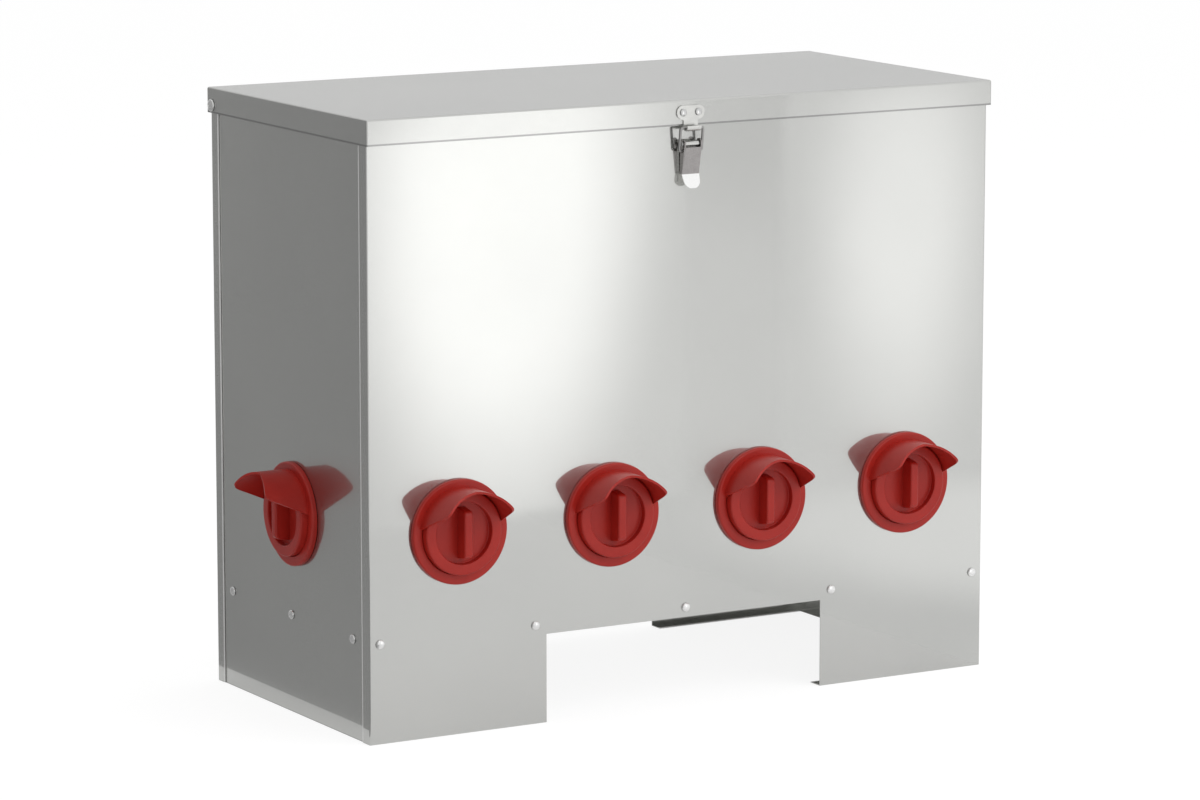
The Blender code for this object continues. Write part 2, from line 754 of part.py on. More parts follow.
def ring_nut(name):
    """The ring nut that clamps a port from inside, with grip lugs round its edge."""
    inner = round_about(SLEEVE_RADIUS + RING_NUT_FIT, RING_SIDES)
    outer = inner + RING_NUT_WIDTH
    pitch = 2 * math.pi / RING_NUT_LUGS
    lug_half = pitch * LUG_SHARE_OF_PITCH / 2
    flank = pitch * FLANK_SHARE_OF_PITCH
    edge = []
    for lug in range(RING_NUT_LUGS):
        middle = lug * pitch
        edge += arc((0, 0), outer + RING_NUT_LUG, middle - lug_half, middle + lug_half, 1)
        start = middle + lug_half + flank
        end = middle + pitch - lug_half - flank
        edge += arc((0, 0), outer, start, end, 2)
    return outline_solid(name, [edge, circle(inner, RING_SIDES)], RING_NUT_THICKNESS)


def seal(name):
    outer = circle(CAP_RADIUS - GAP, RING_SIDES)
    inner = circle(round_about(PLUG_RADIUS + GAP, RING_SIDES), RING_SIDES)
    return outline_solid(name, [outer, inner], SEAL_THICKNESS)


def grip_bar():
    """The bar across the cap, from its root in the recess up to its sloped and rounded ends."""
    root = CAP_FLOOR - CAP_WEB / 2
    top = CAP_FACE + GRIP_PROUD
    foot = CAP_RECESS_RADIUS - GAP
    half = foot - GRIP_END_SLOPE
    end = CAP_RECESS_RADIUS + GRIP_ROOT
    shoulder = CAP_FACE - GAP
    outline = [(-end, root), (end, root), (end, shoulder), (foot, shoulder)]
    outline += rounded_corner((foot, shoulder), (half, top), (-half, top), GRIP_ROUND)
    outline += rounded_corner((half, top), (-half, top), (-foot, shoulder), GRIP_ROUND)
    outline += [(-foot, shoulder), (-end, shoulder)]
    bar = outline_solid("grip_bar", [outline], GRIP_WIDTH)
    bar.data.transform(ON_EDGE)
    return bar


def plug_cap(name):
    """The plug cap: a rimmed disc with a round recess, a grip bar across it and a plug behind."""
    web = CAP_FLOOR - CAP_WEB
    profile = [
        (0.0, CAP_FLOOR),
        (CAP_RECESS_RADIUS, CAP_FLOOR),
        (CAP_RECESS_RADIUS, CAP_FACE),
        (CAP_RADIUS - CAP_CHAMFER, CAP_FACE),
        (CAP_RADIUS, CAP_FACE - CAP_CHAMFER),
        (CAP_RADIUS, CAP_SHOULDER),
        (PLUG_RADIUS, CAP_SHOULDER),
        (PLUG_RADIUS, -PLUG_DEPTH),
        (PLUG_RADIUS - PLUG_WALL, -PLUG_DEPTH),
        (PLUG_RADIUS - PLUG_WALL, web),
        (0.0, web),
    ]
    return joined(turned(name, profile, ROUND_SIDES), grip_bar())


def port_places():
    """Each port's wall and its place along that wall, from the left port round to the right."""
    places = [("left", SIDE_PORT_FORWARD)]
    places += [("front", x) for x in front_port_places()]
    places += [("right", -SIDE_PORT_FORWARD)]
    return places


def add_ports(frames):
    """Every port's four pieces on an empty whose Y axis is the port's own, pointing inwards."""
    patterns = {
        "body": (port_body("body_pattern"), red_plastic("port_red"), 0.0),
        "ring_nut": (
            ring_nut("ring_nut_pattern"),
            red_plastic("ring_nut_red"),
            SHEET + GAP + RING_NUT_THICKNESS / 2,
        ),
        "seal": (seal("seal_pattern"), seal_rubber("seal_black"), -SEAL_BACK - SEAL_THICKNESS / 2),
        "cap": (plug_cap("cap_pattern"), red_plastic("cap_red"), 0.0),
    }
    for pattern, finish, _ in patterns.values():
        dress(pattern, finish)
    for number, (wall, x) in enumerate(port_places(), 1):
        axis = add_empty(f"port_{number}_axis", (x, 0, PORT_HEIGHT), parent=frames[wall])
        for kind, (pattern, _, depth) in patterns.items():
            place(copy_of(pattern, f"port_{number}_{kind}"), axis, (0, depth, 0), FACING_OUT)
    for pattern, _, _ in patterns.values():
        bpy.data.objects.remove(pattern, do_unlink=True)


def catch_rivet_places():
    return spread(2, RIVET_SPACING / 2)


def base_rivet_heights():
    low = PIN_HEIGHT - BASE_LENGTH + BASE_RIVET_EDGE
    return [low, low + BASE_RIVET_PITCH]


def side_view_solid(name, outline, width):
    """A piece drawn from the side as (out from the wall, up), with its width along x."""
    piece = outline_solid(name, [outline], width)
    piece.data.transform(SIDE_VIEW)
    return piece


def hook_height():
    """Height of the hook's bend centre, so that the bail's bar lies a gap above the trough."""
    room = HOOK_ROOM - GAP
    offset = HOOK_ROOM - GAP - BAIL_PLAY
    return BAR_HEIGHT + math.sqrt(room**2 - offset**2)


def catch_plate():
    """The catch's flat plate: a lobe round each rivet and a neck that runs down to the hook."""
    x = RIVET_SPACING / 2
    start, end = CATCH_LOBE_START, CATCH_LOBE_END
    shoulder = RIVET_HEIGHT - CATCH_LOBE - CATCH_NECK_STEP
    foot = hook_height()
    outline = arc((x, RIVET_HEIGHT), CATCH_LOBE, start, end, LOBE_STEPS)
    outline += arc((-x, RIVET_HEIGHT), CATCH_LOBE, math.pi - end, math.pi - start, LOBE_STEPS)
    outline += [(-CATCH_NECK_HALF, shoulder), (-CATCH_NECK_HALF, foot)]
    outline += [(CATCH_NECK_HALF, foot), (CATCH_NECK_HALF, shoulder)]
    plate = outline_solid("latch_catch", [outline], LATCH_SHEET)
    middle = -CATCH_BACK - LATCH_SHEET / 2
    plate.data.transform(Matrix.Translation((0, middle, 0)) @ UPRIGHT)
    return plate


def catch_hook():
    """The neck's end, rolled forwards and up into the trough that holds the bail's bar."""
    foot = hook_height()
    centre = (CATCH_FACE + HOOK_RADIUS, foot)
    tip = foot + HOOK_LIP
    outer = HOOK_RADIUS + LATCH_SHEET
    outline = arc(centre, outer, math.pi, 2 * math.pi, HOOK_STEPS)
    outline += [(centre[0] + outer, tip), (centre[0] + HOOK_RADIUS, tip)]
    outline += arc(centre, HOOK_RADIUS, 2 * math.pi, math.pi, HOOK_STEPS)
    outline += [(CATCH_FACE, tip), (CATCH_BACK, tip)]
    return side_view_solid("hook", outline, 2 * (CATCH_NECK_HALF - OFF_PLANE))


def add_catch(hinge):
    """The catch on the lid's front skirt, in the frame of the lid's hinge."""
    places = [
        ((x, -CATCH_BACK, RIVET_HEIGHT), (0, 1, 0), RIVET_RADIUS + RIVET_FIT)
        for x in catch_rivet_places()
    ]
    catch = joined(catch_plate(), catch_hook())
    catch = cut(catch, holes("catch_holes", places, SHAFT_SIDES))
    dress(catch, zinc("latch_catch_zinc"))
    place(catch, hinge, (0, -BODY_DEPTH / 2 - HINGE_Y, -HINGE_Z))


def add_rivets(front, hinge):
    """Two rivets hold the catch on the lid, and two the base on the front wall."""
    first = rivet("catch_rivet_1")
    dress(first, zinc("rivet_zinc"))
    left, right = catch_rivet_places()
    y = -BODY_DEPTH / 2 - CATCH_FACE - HINGE_Y
    z = RIVET_HEIGHT - HINGE_Z
    place(first, hinge, (left, y, z), FACING_OUT)
    place(copy_of(first, "catch_rivet_2"), hinge, (right, y, z), FACING_OUT)
    for number, height in enumerate(base_rivet_heights(), 1):
        low = copy_of(first, f"base_rivet_{number}")
        place(low, front, (0, -GAP - LATCH_SHEET, height), FACING_OUT)


def add_latch_base(front):
    """The base plate on the body, whose top is drawn out and rolled round the lever's pin."""
    top = PIN_HEIGHT - KNUCKLE_RADIUS
    plate = add_block(
        "latch_base",
        (-BASE_WIDTH / 2, -GAP - LATCH_SHEET, PIN_HEIGHT - BASE_LENGTH),
        (BASE_WIDTH / 2, -GAP, top),
    )
    ring = circle(KNUCKLE_RADIUS, KNUCKLE_SIDES, (PIN_OUT, PIN_HEIGHT))
    roll = side_view_solid("roll", ring, 2 * KNUCKLE_HALF)
    shelf_half = KNUCKLE_HALF - GAP
    shelf = add_block(
        "shelf",
        (-shelf_half, -PIN_OUT, top - LATCH_SHEET / 2),
        (shelf_half, -GAP - LATCH_SHEET / 2, top + LATCH_SHEET / 2),
    )
    rivets = [((0, -GAP, z), (0, 1, 0), RIVET_RADIUS + RIVET_FIT) for z in base_rivet_heights()]
    bore = [((0, -PIN_OUT, PIN_HEIGHT), (1, 0, 0), PIN_BORE)]
    base = cut(
        joined(plate, roll, shelf),
        holes("base_rivet_holes", rivets, SHAFT_SIDES),
        holes("base_pin_bore", bore, SHAFT_SIDES, BASE_WIDTH + LEVER_WIDTH),
    )
    dress(base, zinc("latch_base_zinc"))
    place(base, front)


def add_latch_pin(pivot):
    """The lever's pivot pin, with a round head at each end."""
    half = LEVER_WIDTH / 2 + GAP
    tip = half + PIN_HEAD_LENGTH
    head = PIN_RADIUS + PIN_HEAD_RIM
    profile = [
        (0.0, tip),
        (head, tip),
        (head, half),
        (PIN_RADIUS, half),
        (PIN_RADIUS, -half),
        (head, -half),
        (head, -tip),
        (0.0, -tip),
    ]
    pin = turned("latch_pin", profile, SHAFT_SIDES)
    dress(pin, zinc("latch_pin_zinc"))
    place(pin, pivot, rotation=(0, math.pi / 2, 0))


def lever_web_line():
    """The inner face of the lever's web in side view: its top, its bend and its tongue's tip."""
    top = (LEVER_DEPTH, LEVER_WEB_TOP)
    bend = (LEVER_DEPTH - LEVER_LEAN, -LEVER_LENGTH)
    tip = (bend[0] + TONGUE_KICK, bend[1] - TONGUE_LENGTH)
    return top, bend, tip


def lever_web():
    top, bend, tip = lever_web_line()
    kick = math.atan2(TONGUE_KICK, TONGUE_LENGTH)
    outer_tip = (
        tip[0] + LATCH_SHEET * math.cos(kick),
        tip[1] + LATCH_SHEET * math.sin(kick),
    )
    outer_bend = (bend[0] + LATCH_SHEET, bend[1])
    outer_top = (top[0] + LATCH_SHEET, top[1])
    outline = [top, bend, tip, outer_tip, outer_bend, outer_top]
    return side_view_solid("latch_lever", outline, LEVER_WIDTH)


def lever_cheek(side):
    """One side of the channel, from its round nose behind the pin down to its narrow toe."""
    top, bend, _ = lever_web_line()
    into_web = LATCH_SHEET / 2
    outline = [(bend[0] + into_web, bend[1] + OFF_PLANE), (top[0] + into_web, top[1] - OFF_PLANE)]
    start = math.atan2(top[1], top[0])
    outline += arc((0, 0), LEVER_NOSE, start, math.pi, LOBE_STEPS)[1:]
    outline += [
        (-LEVER_NOSE, -PIN_ABOVE_BAIL - BAIL_WIRE / 2),
        (bend[0] - LEVER_TOE_DEPTH, bend[1] + CHEEK_END_RISE),
    ]
    cheek = side_view_solid(f"cheek_{side}", outline, LATCH_SHEET)
    inset = (LEVER_WIDTH - LATCH_SHEET) / 2 - OFF_PLANE
    cheek.data.transform(Matrix.Translation((side * inset, 0, 0)))
    return cheek


def tongue_outline():
    """The lever from the front: straight sides down to the bend, then a round tongue."""
    half = LEVER_WIDTH / 2 + GAP
    top = LEVER_NOSE + GAP
    middle = (0.0, -LEVER_LENGTH - TONGUE_LENGTH + TONGUE_RADIUS)
    outline = [(-half, top), (-half, -LEVER_LENGTH)]
    outline += arc(middle, TONGUE_RADIUS, math.pi, 2 * math.pi, HOOK_STEPS)
    outline += [(half, -LEVER_LENGTH), (half, top)]
    return outline


def add_lever(pivot):
    """The lever: a channel that hangs from the pin, with a rounded tongue kicked outwards."""
    lever = joined(lever_web(), lever_cheek(-1), lever_cheek(1))
    depth = 2 * (LEVER_DEPTH + LEVER_NOSE + TONGUE_KICK + LATCH_SHEET)
    tongue = outline_solid("tongue_shape", [tongue_outline()], depth)
    tongue.data.transform(UPRIGHT)
    lever = combined(lever, [as_cutter(tongue)], "INTERSECT")
    bail_pivot = (0, PIN_OUT_OF_BAIL, -PIN_ABOVE_BAIL)
    through = LEVER_WIDTH + CUT_MARGIN
    pin_hole = [((0, 0, 0), (1, 0, 0), PIN_BORE)]
    bail_hole = [(bail_pivot, (1, 0, 0), BAIL_WIRE / 2 + PIN_FIT)]
    lever = cut(
        lever,
        holes("lever_pin_hole", pin_hole, SHAFT_SIDES, through),
        holes("lever_bail_hole", bail_hole, SHAFT_SIDES, through),
    )
    dress(lever, zinc("latch_lever_zinc"))
    place(lever, pivot)


def bail_path():
    """The bail's centre line: feet turned inwards, two legs leaning outwards and the bar."""
    foot = LEVER_WIDTH / 2 - LATCH_SHEET - 2 * GAP
    length = math.hypot(BAIL_LENGTH, BAIL_LEAN)
    inner = BAIL_HALF_WIDTH - BAIL_BEND
    half = [(foot, 0.0), (inner, 0.0)]
    half += arc((inner, BAIL_BEND), BAIL_BEND, -math.pi / 2, 0.0)[1:]
    half += arc((inner, length - BAIL_BEND), BAIL_BEND, 0.0, math.pi / 2)
    whole = half + [(-x, along) for x, along in reversed(half)]
    return [(x, -BAIL_LEAN * along / length, BAIL_LENGTH * along / length) for x, along in whole]


def add_bail(axis):
    """The wire bail in the frame of its own pivot in the lever's cheeks."""
    curve = bpy.data.curves.new("latch_bail", "CURVE")
    curve.dimensions = "3D"
    curve.bevel_depth = BAIL_WIRE / 2
    curve.bevel_resolution = 2
    curve.use_fill_caps = True
    spline = curve.splines.new("POLY")
    path = bail_path()
    spline.points.add(len(path) - 1)
    for point, co in zip(spline.points, path):
        point.co = (*co, 1.0)
    bail = bpy.data.objects.new("latch_bail", curve)
    PARTS.objects.link(bail)
    bail = baked(bail)
    dress(bail, zinc("latch_bail_zinc"))
    place(bail, axis)


def main():
    front_reach = BODY_DEPTH / 2 + max(lip for _, lip in visor_lip())
    origin = add_empty("feeder_origin", (0, (front_reach - LID_BACK) / 2, 0))
    frames = {
        "front": add_empty("front_wall", (0, -BODY_DEPTH / 2, 0), 0.0, origin),
        "back": add_empty("back_wall", (0, BODY_DEPTH / 2, 0), math.pi, origin),
        "left": add_empty("left_wall", (-SIDE_FACE, 0, 0), -math.pi / 2, origin),
        "right": add_empty("right_wall", (SIDE_FACE, 0, 0), math.pi / 2, origin),
    }
    hinge = add_empty("lid_hinge", (0, HINGE_Y, HINGE_Z), parent=origin)
    pin_axis = add_empty("lever_axis", (0, -PIN_OUT, PIN_HEIGHT), parent=frames["front"])
    bail_axis = add_empty("bail_axis", (0, PIN_OUT_OF_BAIL, -PIN_ABOVE_BAIL), parent=pin_axis)
    add_front_wall(frames["front"])
    add_back_wall(frames["back"])
    add_side_wall("left_side_panel", frames["left"], 1)
    add_side_wall("right_side_panel", frames["right"], -1)
    add_floor_tray(origin)
    add_screws(frames)
    add_lid(hinge)
    add_lid_bolts(origin)
    add_ports(frames)
    add_catch(hinge)
    add_rivets(frames["front"], hinge)
    add_latch_base(frames["front"])
    add_latch_pin(pin_axis)
    add_lever(pin_axis)
    add_bail(bail_axis)


main()
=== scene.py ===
# %% [markdown]
# # A poultry feeder in sheet metal and red plastic
# The imported model gives every solid its place, so each piece here is drawn where the model says.
# All lengths are metres, +Z is up, and the wall with the row of feeding ports faces -Y.
# The first cell loads the model.

# %% Load the imported model
import json
import math

import bmesh
import bpy
from mathutils import Matrix, Vector


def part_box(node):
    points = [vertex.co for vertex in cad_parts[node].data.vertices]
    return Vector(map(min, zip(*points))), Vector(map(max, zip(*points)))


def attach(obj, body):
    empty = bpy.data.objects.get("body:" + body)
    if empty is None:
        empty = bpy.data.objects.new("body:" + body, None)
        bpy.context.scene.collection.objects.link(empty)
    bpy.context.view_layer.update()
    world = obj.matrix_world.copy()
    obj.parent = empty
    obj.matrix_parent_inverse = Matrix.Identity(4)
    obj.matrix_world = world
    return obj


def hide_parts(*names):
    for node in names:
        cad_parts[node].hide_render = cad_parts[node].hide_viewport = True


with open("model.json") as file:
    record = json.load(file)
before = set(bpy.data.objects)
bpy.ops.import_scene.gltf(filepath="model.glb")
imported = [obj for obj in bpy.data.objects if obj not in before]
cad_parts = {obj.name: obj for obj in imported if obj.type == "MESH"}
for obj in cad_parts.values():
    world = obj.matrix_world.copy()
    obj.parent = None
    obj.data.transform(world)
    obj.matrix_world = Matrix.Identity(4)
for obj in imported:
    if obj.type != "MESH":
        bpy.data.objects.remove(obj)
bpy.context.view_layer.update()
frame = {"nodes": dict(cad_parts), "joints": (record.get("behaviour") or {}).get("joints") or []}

# %% [markdown]
# ## The camera
# The photograph was taken from the front left, a little above the lid, with a long lens.
# Its place was solved from the straight edges of the body, so it is typed in as numbers.
# A camera without lens shift is used.

# %% Place the camera
CAMERA_PLACE = Vector((-2.2293, -3.8000, 0.9994))
CAMERA_TURN = math.radians(-30.248)
CAMERA_DIP = math.radians(-9.670)
CAMERA_LENS = 152.55

camera_data = bpy.data.cameras.new("camera")
camera_data.lens = CAMERA_LENS
camera_data.sensor_width = 36.0
camera_data.clip_start = 0.1
camera_data.clip_end = 100.0
camera = bpy.data.objects.new("camera", camera_data)
camera.location = CAMERA_PLACE
camera.rotation_euler = (math.pi / 2 + CAMERA_DIP, 0.0, CAMERA_TURN)
bpy.context.scene.collection.objects.link(camera)
bpy.context.scene.camera = camera
bpy.context.scene.view_settings.view_transform = "Standard"
print("camera", tuple(round(v, 3) for v in camera.location), "lens", camera_data.lens)

# %% [markdown]
# ## Small helpers for shader nodes
# Each finish below is a short chain of nodes. These helpers add a node and plug values into it,
# so that a finish reads as a recipe. Patterns are laid on Object coordinates, which stay with a
# piece when it moves, and every constant goes straight onto the shader's own sockets.

# %% Helpers for finishes
def new_finish(name, colour, metallic, roughness, specular=0.5):
    """A material with one Principled shader whose plain values are set on its own sockets."""
    finish = bpy.data.materials.new(name)
    finish.use_nodes = True
    shader = finish.node_tree.nodes["Principled BSDF"]
    shader.inputs["Base Color"].default_value = (*colour, 1.0)
    shader.inputs["Metallic"].default_value = metallic
    shader.inputs["Roughness"].default_value = roughness
    shader.inputs["Specular IOR Level"].default_value = specular
    finish.diffuse_color = (*colour, 1.0)
    return finish, finish.node_tree, shader


def add_node(tree, kind, **settings):
    """A node whose settings, such as its operation, are given by name."""
    node = tree.nodes.new(kind)
    for key, value in settings.items():
        setattr(node, key, value)
    return node


def pattern(tree, scale, detail=2.0, stretch=(1.0, 1.0, 1.0)):
    """Noise on Object coordinates, squeezed or drawn out along each axis by stretch."""
    place = add_node(tree, "ShaderNodeTexCoord")
    mapping = add_node(tree, "ShaderNodeMapping")
    mapping.inputs["Scale"].default_value = stretch
    noise = add_node(tree, "ShaderNodeTexNoise")
    noise.inputs["Scale"].default_value = scale
    noise.inputs["Detail"].default_value = detail
    tree.links.new(place.outputs["Object"], mapping.inputs["Vector"])
    tree.links.new(mapping.outputs["Vector"], noise.inputs["Vector"])
    return noise.outputs["Fac"]


def object_axis(tree, axis):
    """One Object coordinate as a value, for a finish that changes along that axis."""
    split = add_node(tree, "ShaderNodeSeparateXYZ")
    place = add_node(tree, "ShaderNodeTexCoord")
    tree.links.new(place.outputs["Object"], split.inputs[0])
    return split.outputs[axis]


def spread_to(tree, value, low, high, start=0.3, stop=0.7):
    """Spreads start to stop over low to high. Noise sits near its middle, mostly in 0.3 to 0.7."""
    node = add_node(tree, "ShaderNodeMapRange")
    node.inputs["From Min"].default_value = start
    node.inputs["From Max"].default_value = stop
    node.inputs["To Min"].default_value = low
    node.inputs["To Max"].default_value = high
    tree.links.new(value, node.inputs["Value"])
    return node.outputs["Result"]


def between(tree, value, first, second):
    """A colour between two others, which may be plain colours or sockets."""
    mix = add_node(tree, "ShaderNodeMix", data_type="RGBA")
    for socket, colour in (("A", first), ("B", second)):
        if isinstance(colour, bpy.types.NodeSocket):
            tree.links.new(colour, mix.inputs[socket])
        else:
            mix.inputs[socket].default_value = (*colour, 1.0)
    tree.links.new(value, mix.inputs["Factor"])
    return mix.outputs["Result"]


def bumped(tree, shader, height, strength, distance):
    """Tilts the shading by a height, and leaves the surface where it is."""
    bump = add_node(tree, "ShaderNodeBump")
    bump.inputs["Strength"].default_value = strength
    bump.inputs["Distance"].default_value = distance
    tree.links.new(height, bump.inputs["Height"])
    tree.links.new(bump.outputs["Normal"], shader.inputs["Normal"])


print("helpers for finishes ready")

# %% [markdown]
# ## Sheet metal
# The body is bright galvanised sheet. It mirrors what is near it, as the red reflections of the
# visors show, and these are crisp and yet pale. One even roughness would blur them or leave them
# too dark. So polished and matt spots alternate, finer than the eye sees and drawn out a little
# along the way the sheet was rolled: a very fine noise, switched between two roughnesses. A wide
# noise shades the zinc a little lighter and darker, and another makes the mirror slightly wavy.
# A strip at each sheet's edge gets its own colour. At the front and back wraps it is a painted
# highlight. Elsewhere it is a darker cut edge, which on the lid is also painted shade under its
# skirt.

# %% Sheet metal finishes
SHEET_LIGHT = (0.575, 0.578, 0.562)
SHEET_DARK = (0.545, 0.548, 0.534)
# The dark edge colour is a cut edge, and on the lid it is also painted shade. The bright edge
# colour, with its low metallic, is a painted highlight.
DARK_EDGE = (0.33, 0.33, 0.325)
PAINTED_EDGE_HIGHLIGHT = (0.95, 0.95, 0.94)
EDGE_HIGHLIGHT_METALLIC = 0.3
SMOOTH, ROUGH = 0.06, 0.40
MATT_FROM, FRONT_MATT_FROM = 0.50, 0.53
MATT_FADE = 0.06
WAVY = 0.12


def sheet_metal(name, grain, edge, matt_from=MATT_FROM):
    """Rolled sheet. Its grain says how fine the spots are along each axis, and its edge is what
    edge_strip returns. Where the fine noise is above matt_from, the sheet turns matt."""
    finish, tree, shader = new_finish(name, SHEET_LIGHT, metallic=1.0, roughness=0.2)
    cloud = spread_to(tree, pattern(tree, scale=5.0, detail=3.0), 0.0, 1.0)
    colour = between(tree, cloud, SHEET_LIGHT, SHEET_DARK)
    axis, all_edge, all_face, edge_colour, edge_metallic = edge
    away = spread_to(tree, object_axis(tree, axis), 0.0, 1.0, all_edge, all_face)
    tree.links.new(between(tree, away, edge_colour, colour), shader.inputs["Base Color"])
    if edge_metallic < 1.0:
        metallic = spread_to(tree, away, edge_metallic, 1.0, 0.0, 1.0)
        tree.links.new(metallic, shader.inputs["Metallic"])
    spots = pattern(tree, scale=1.0, stretch=grain)
    roughness = spread_to(tree, spots, SMOOTH, ROUGH, matt_from, matt_from + MATT_FADE)
    tree.links.new(roughness, shader.inputs["Roughness"])
    bumped(tree, shader, pattern(tree, scale=7.0, detail=1.0), WAVY, distance=0.001)
    return finish


# %% Where each sheet's edge is, and the sheets' finishes
EDGE_FADE = 0.0003


def edge_strip(axis, at, strip, colour, metallic=1.0):
    """An edge at a place on an axis, with a strip that runs up from it, or down if negative. It
    returns the axis, where it is all edge, where it is all face, its colour and its metallic."""
    return axis, at + strip, at + strip + math.copysign(EDGE_FADE, strip), colour, metallic


WRAP = 0.0135
WRAP_STRIP = 0.0013
LID_STRIP = 0.0014
THIN_STRIP = 0.0005
ROLLED_UPRIGHT = (7000.0, 7000.0, 5000.0)
ROLLED_LEVEL = (5000.0, 7000.0, 7000.0)
lid_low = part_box("lid")[0].z
tray_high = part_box("floor_tray")[1].z
front_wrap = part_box("front_panel")[0].y + WRAP
back_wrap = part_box("back_panel")[1].y - WRAP

# The front and back wraps carry a painted highlight along their edges.
front_edge_highlight = edge_strip("Y", front_wrap, -WRAP_STRIP, PAINTED_EDGE_HIGHLIGHT, EDGE_HIGHLIGHT_METALLIC)
back_edge_highlight = edge_strip("Y", back_wrap, WRAP_STRIP, PAINTED_EDGE_HIGHLIGHT, EDGE_HIGHLIGHT_METALLIC)
side_edge = edge_strip("Z", 0.0, THIN_STRIP, DARK_EDGE)
# The lid's lower edge carries painted shade under its skirt, on top of its cut edge.
lid_edge_shade = edge_strip("Z", lid_low, LID_STRIP, DARK_EDGE)
tray_edge = edge_strip("Z", tray_high, -THIN_STRIP, DARK_EDGE)
front_metal = sheet_metal("front_metal", ROLLED_UPRIGHT, front_edge_highlight, FRONT_MATT_FROM)
wall_metal = sheet_metal("wall_metal", ROLLED_UPRIGHT, back_edge_highlight)
side_metal = sheet_metal("side_metal", ROLLED_UPRIGHT, side_edge)
lid_metal = sheet_metal("lid_metal", ROLLED_LEVEL, lid_edge_shade)
tray_metal = sheet_metal("tray_metal", ROLLED_LEVEL, tray_edge)
print("sheet metal finishes made, lid edge at", round(lid_low, 4))

# %% [markdown]
# ## Red plastic
# Ports, caps and ring nuts are moulded in one red plastic with a satin surface. It is a plain
# dielectric: a slightly uneven red, a roughness that wanders a little, and a very fine bump from
# the texture of the mould.

# %% Red plastic finish
RED_LIGHT = (0.455, 0.021, 0.013)
RED_DARK = (0.400, 0.016, 0.010)

red_plastic, tree, shader = new_finish(
    "red_plastic", RED_LIGHT, metallic=0.0, roughness=0.34, specular=0.34
)
shade = spread_to(tree, pattern(tree, scale=40.0, detail=3.0), 0.0, 1.0)
tree.links.new(between(tree, shade, RED_LIGHT, RED_DARK), shader.inputs["Base Color"])
speckle = pattern(tree, scale=2500.0)
tree.links.new(spread_to(tree, speckle, 0.30, 0.42), shader.inputs["Roughness"])
bumped(tree, shader, speckle, strength=0.12, distance=0.0001)
print("red plastic made, lightest", RED_LIGHT, "darkest", RED_DARK)

# %% [markdown]
# ## Zinc, nickel and rubber
# Screws, bolts and nuts are bright zinc plated and the rivets are plain steel. The latch is nickel
# plated: pale on its base and catch, and a darker grey on its lever and its wire, where the
# lever's darker grey is painted shade. One recipe serves them all: fine clouds in the colour, and
# finer scuffs in the roughness and the bump. The hidden seals are matt black rubber.

# %% Finishes of the small pieces
def plated(name, light, dark, smooth, rough, metallic=1.0):
    """A plated finish between two colours and between two roughnesses."""
    finish, tree, shader = new_finish(name, light, metallic, smooth)
    cloud = spread_to(tree, pattern(tree, scale=220.0, detail=3.0), 0.0, 1.0)
    tree.links.new(between(tree, cloud, light, dark), shader.inputs["Base Color"])
    scuffs = pattern(tree, scale=1400.0, detail=3.0)
    tree.links.new(spread_to(tree, scuffs, smooth, rough), shader.inputs["Roughness"])
    bumped(tree, shader, scuffs, strength=0.05, distance=0.00005)
    return finish


zinc_plate = plated("zinc_plate", (0.86, 0.86, 0.85), (0.76, 0.76, 0.76), 0.18, 0.34, 0.85)
# The lever's darker grey is painted shade; the base and catch show the nickel's own paler grey.
nickel_plate = plated("nickel_plate", (0.345, 0.33, 0.325), (0.315, 0.30, 0.295), 0.20, 0.30)
rivet_steel = plated("rivet_steel", (0.66, 0.66, 0.65), (0.56, 0.56, 0.56), 0.14, 0.26)
catch_plate = plated("catch_plate", (0.62, 0.62, 0.60), (0.56, 0.56, 0.545), 0.20, 0.32)
spring_wire = plated("spring_wire", (0.36, 0.355, 0.35), (0.30, 0.295, 0.29), 0.34, 0.46)

RUBBER_BLACK, RUBBER_DUSTY = (0.022, 0.022, 0.022), (0.05, 0.05, 0.048)
seal_rubber, tree, shader = new_finish("seal_rubber", (0.03, 0.03, 0.03), 0.0, roughness=0.7)
dust = pattern(tree, scale=900.0, detail=3.0)
dusty = between(tree, dust, RUBBER_BLACK, RUBBER_DUSTY)
tree.links.new(dusty, shader.inputs["Base Color"])
bumped(tree, shader, dust, strength=0.2, distance=0.0001)
print("finishes of the small pieces made")

# %% [markdown]
# ## Helpers for shapes
# Turned pieces start as a profile of (radius, height) points, and `softened` rounds its corners
# first, because no moulded or pressed edge is truly sharp. A profile is quick to read and to
# change, and turning it keeps a round piece truly round.

# %% Profiles and turned shapes
MERGE = 0.000001
HERE = Matrix.Identity(4)


def softened(points, steps=4):
    """A line of (x, y) or (x, y, cut) points, with each cut corner replaced by a small curve."""
    line = []
    for i, point in enumerate(points):
        x, y = point[0], point[1]
        cut = point[2] if len(point) > 2 else 0.0
        if cut == 0.0:
            line.append((x, y))
            continue
        corner = Vector((x, y))
        before = Vector(points[i - 1][:2])
        after = Vector(points[(i + 1) % len(points)][:2])
        start = corner + (before - corner).normalized() * cut
        end = corner + (after - corner).normalized() * cut
        for k in range(steps + 1):
            t = k / steps
            line.append(tuple(start * (1 - t) ** 2 + corner * 2 * t * (1 - t) + end * t * t))
    return line


def object_from(name, bm):
    """An object with the faces of a bmesh, which is freed."""
    mesh = bpy.data.meshes.new(name)
    bm.to_mesh(mesh)
    bm.free()
    obj = bpy.data.objects.new(name, mesh)
    bpy.context.scene.collection.objects.link(obj)
    return obj


def turned(name, profile, sides):
    """An object turned about Z from a profile whose ends are on the axis or meet each other."""
    bm = bmesh.new()
    verts = [bm.verts.new((radius, 0.0, height)) for radius, height in profile]
    edges = [bm.edges.new(pair) for pair in zip(verts, verts[1:])]
    bmesh.ops.spin(
        bm, geom=verts + edges, axis=(0, 0, 1), cent=(0, 0, 0), angle=2 * math.pi, steps=sides
    )
    bmesh.ops.remove_doubles(bm, verts=bm.verts, dist=MERGE)
    bmesh.ops.recalc_face_normals(bm, faces=bm.faces)
    return object_from(name, bm)


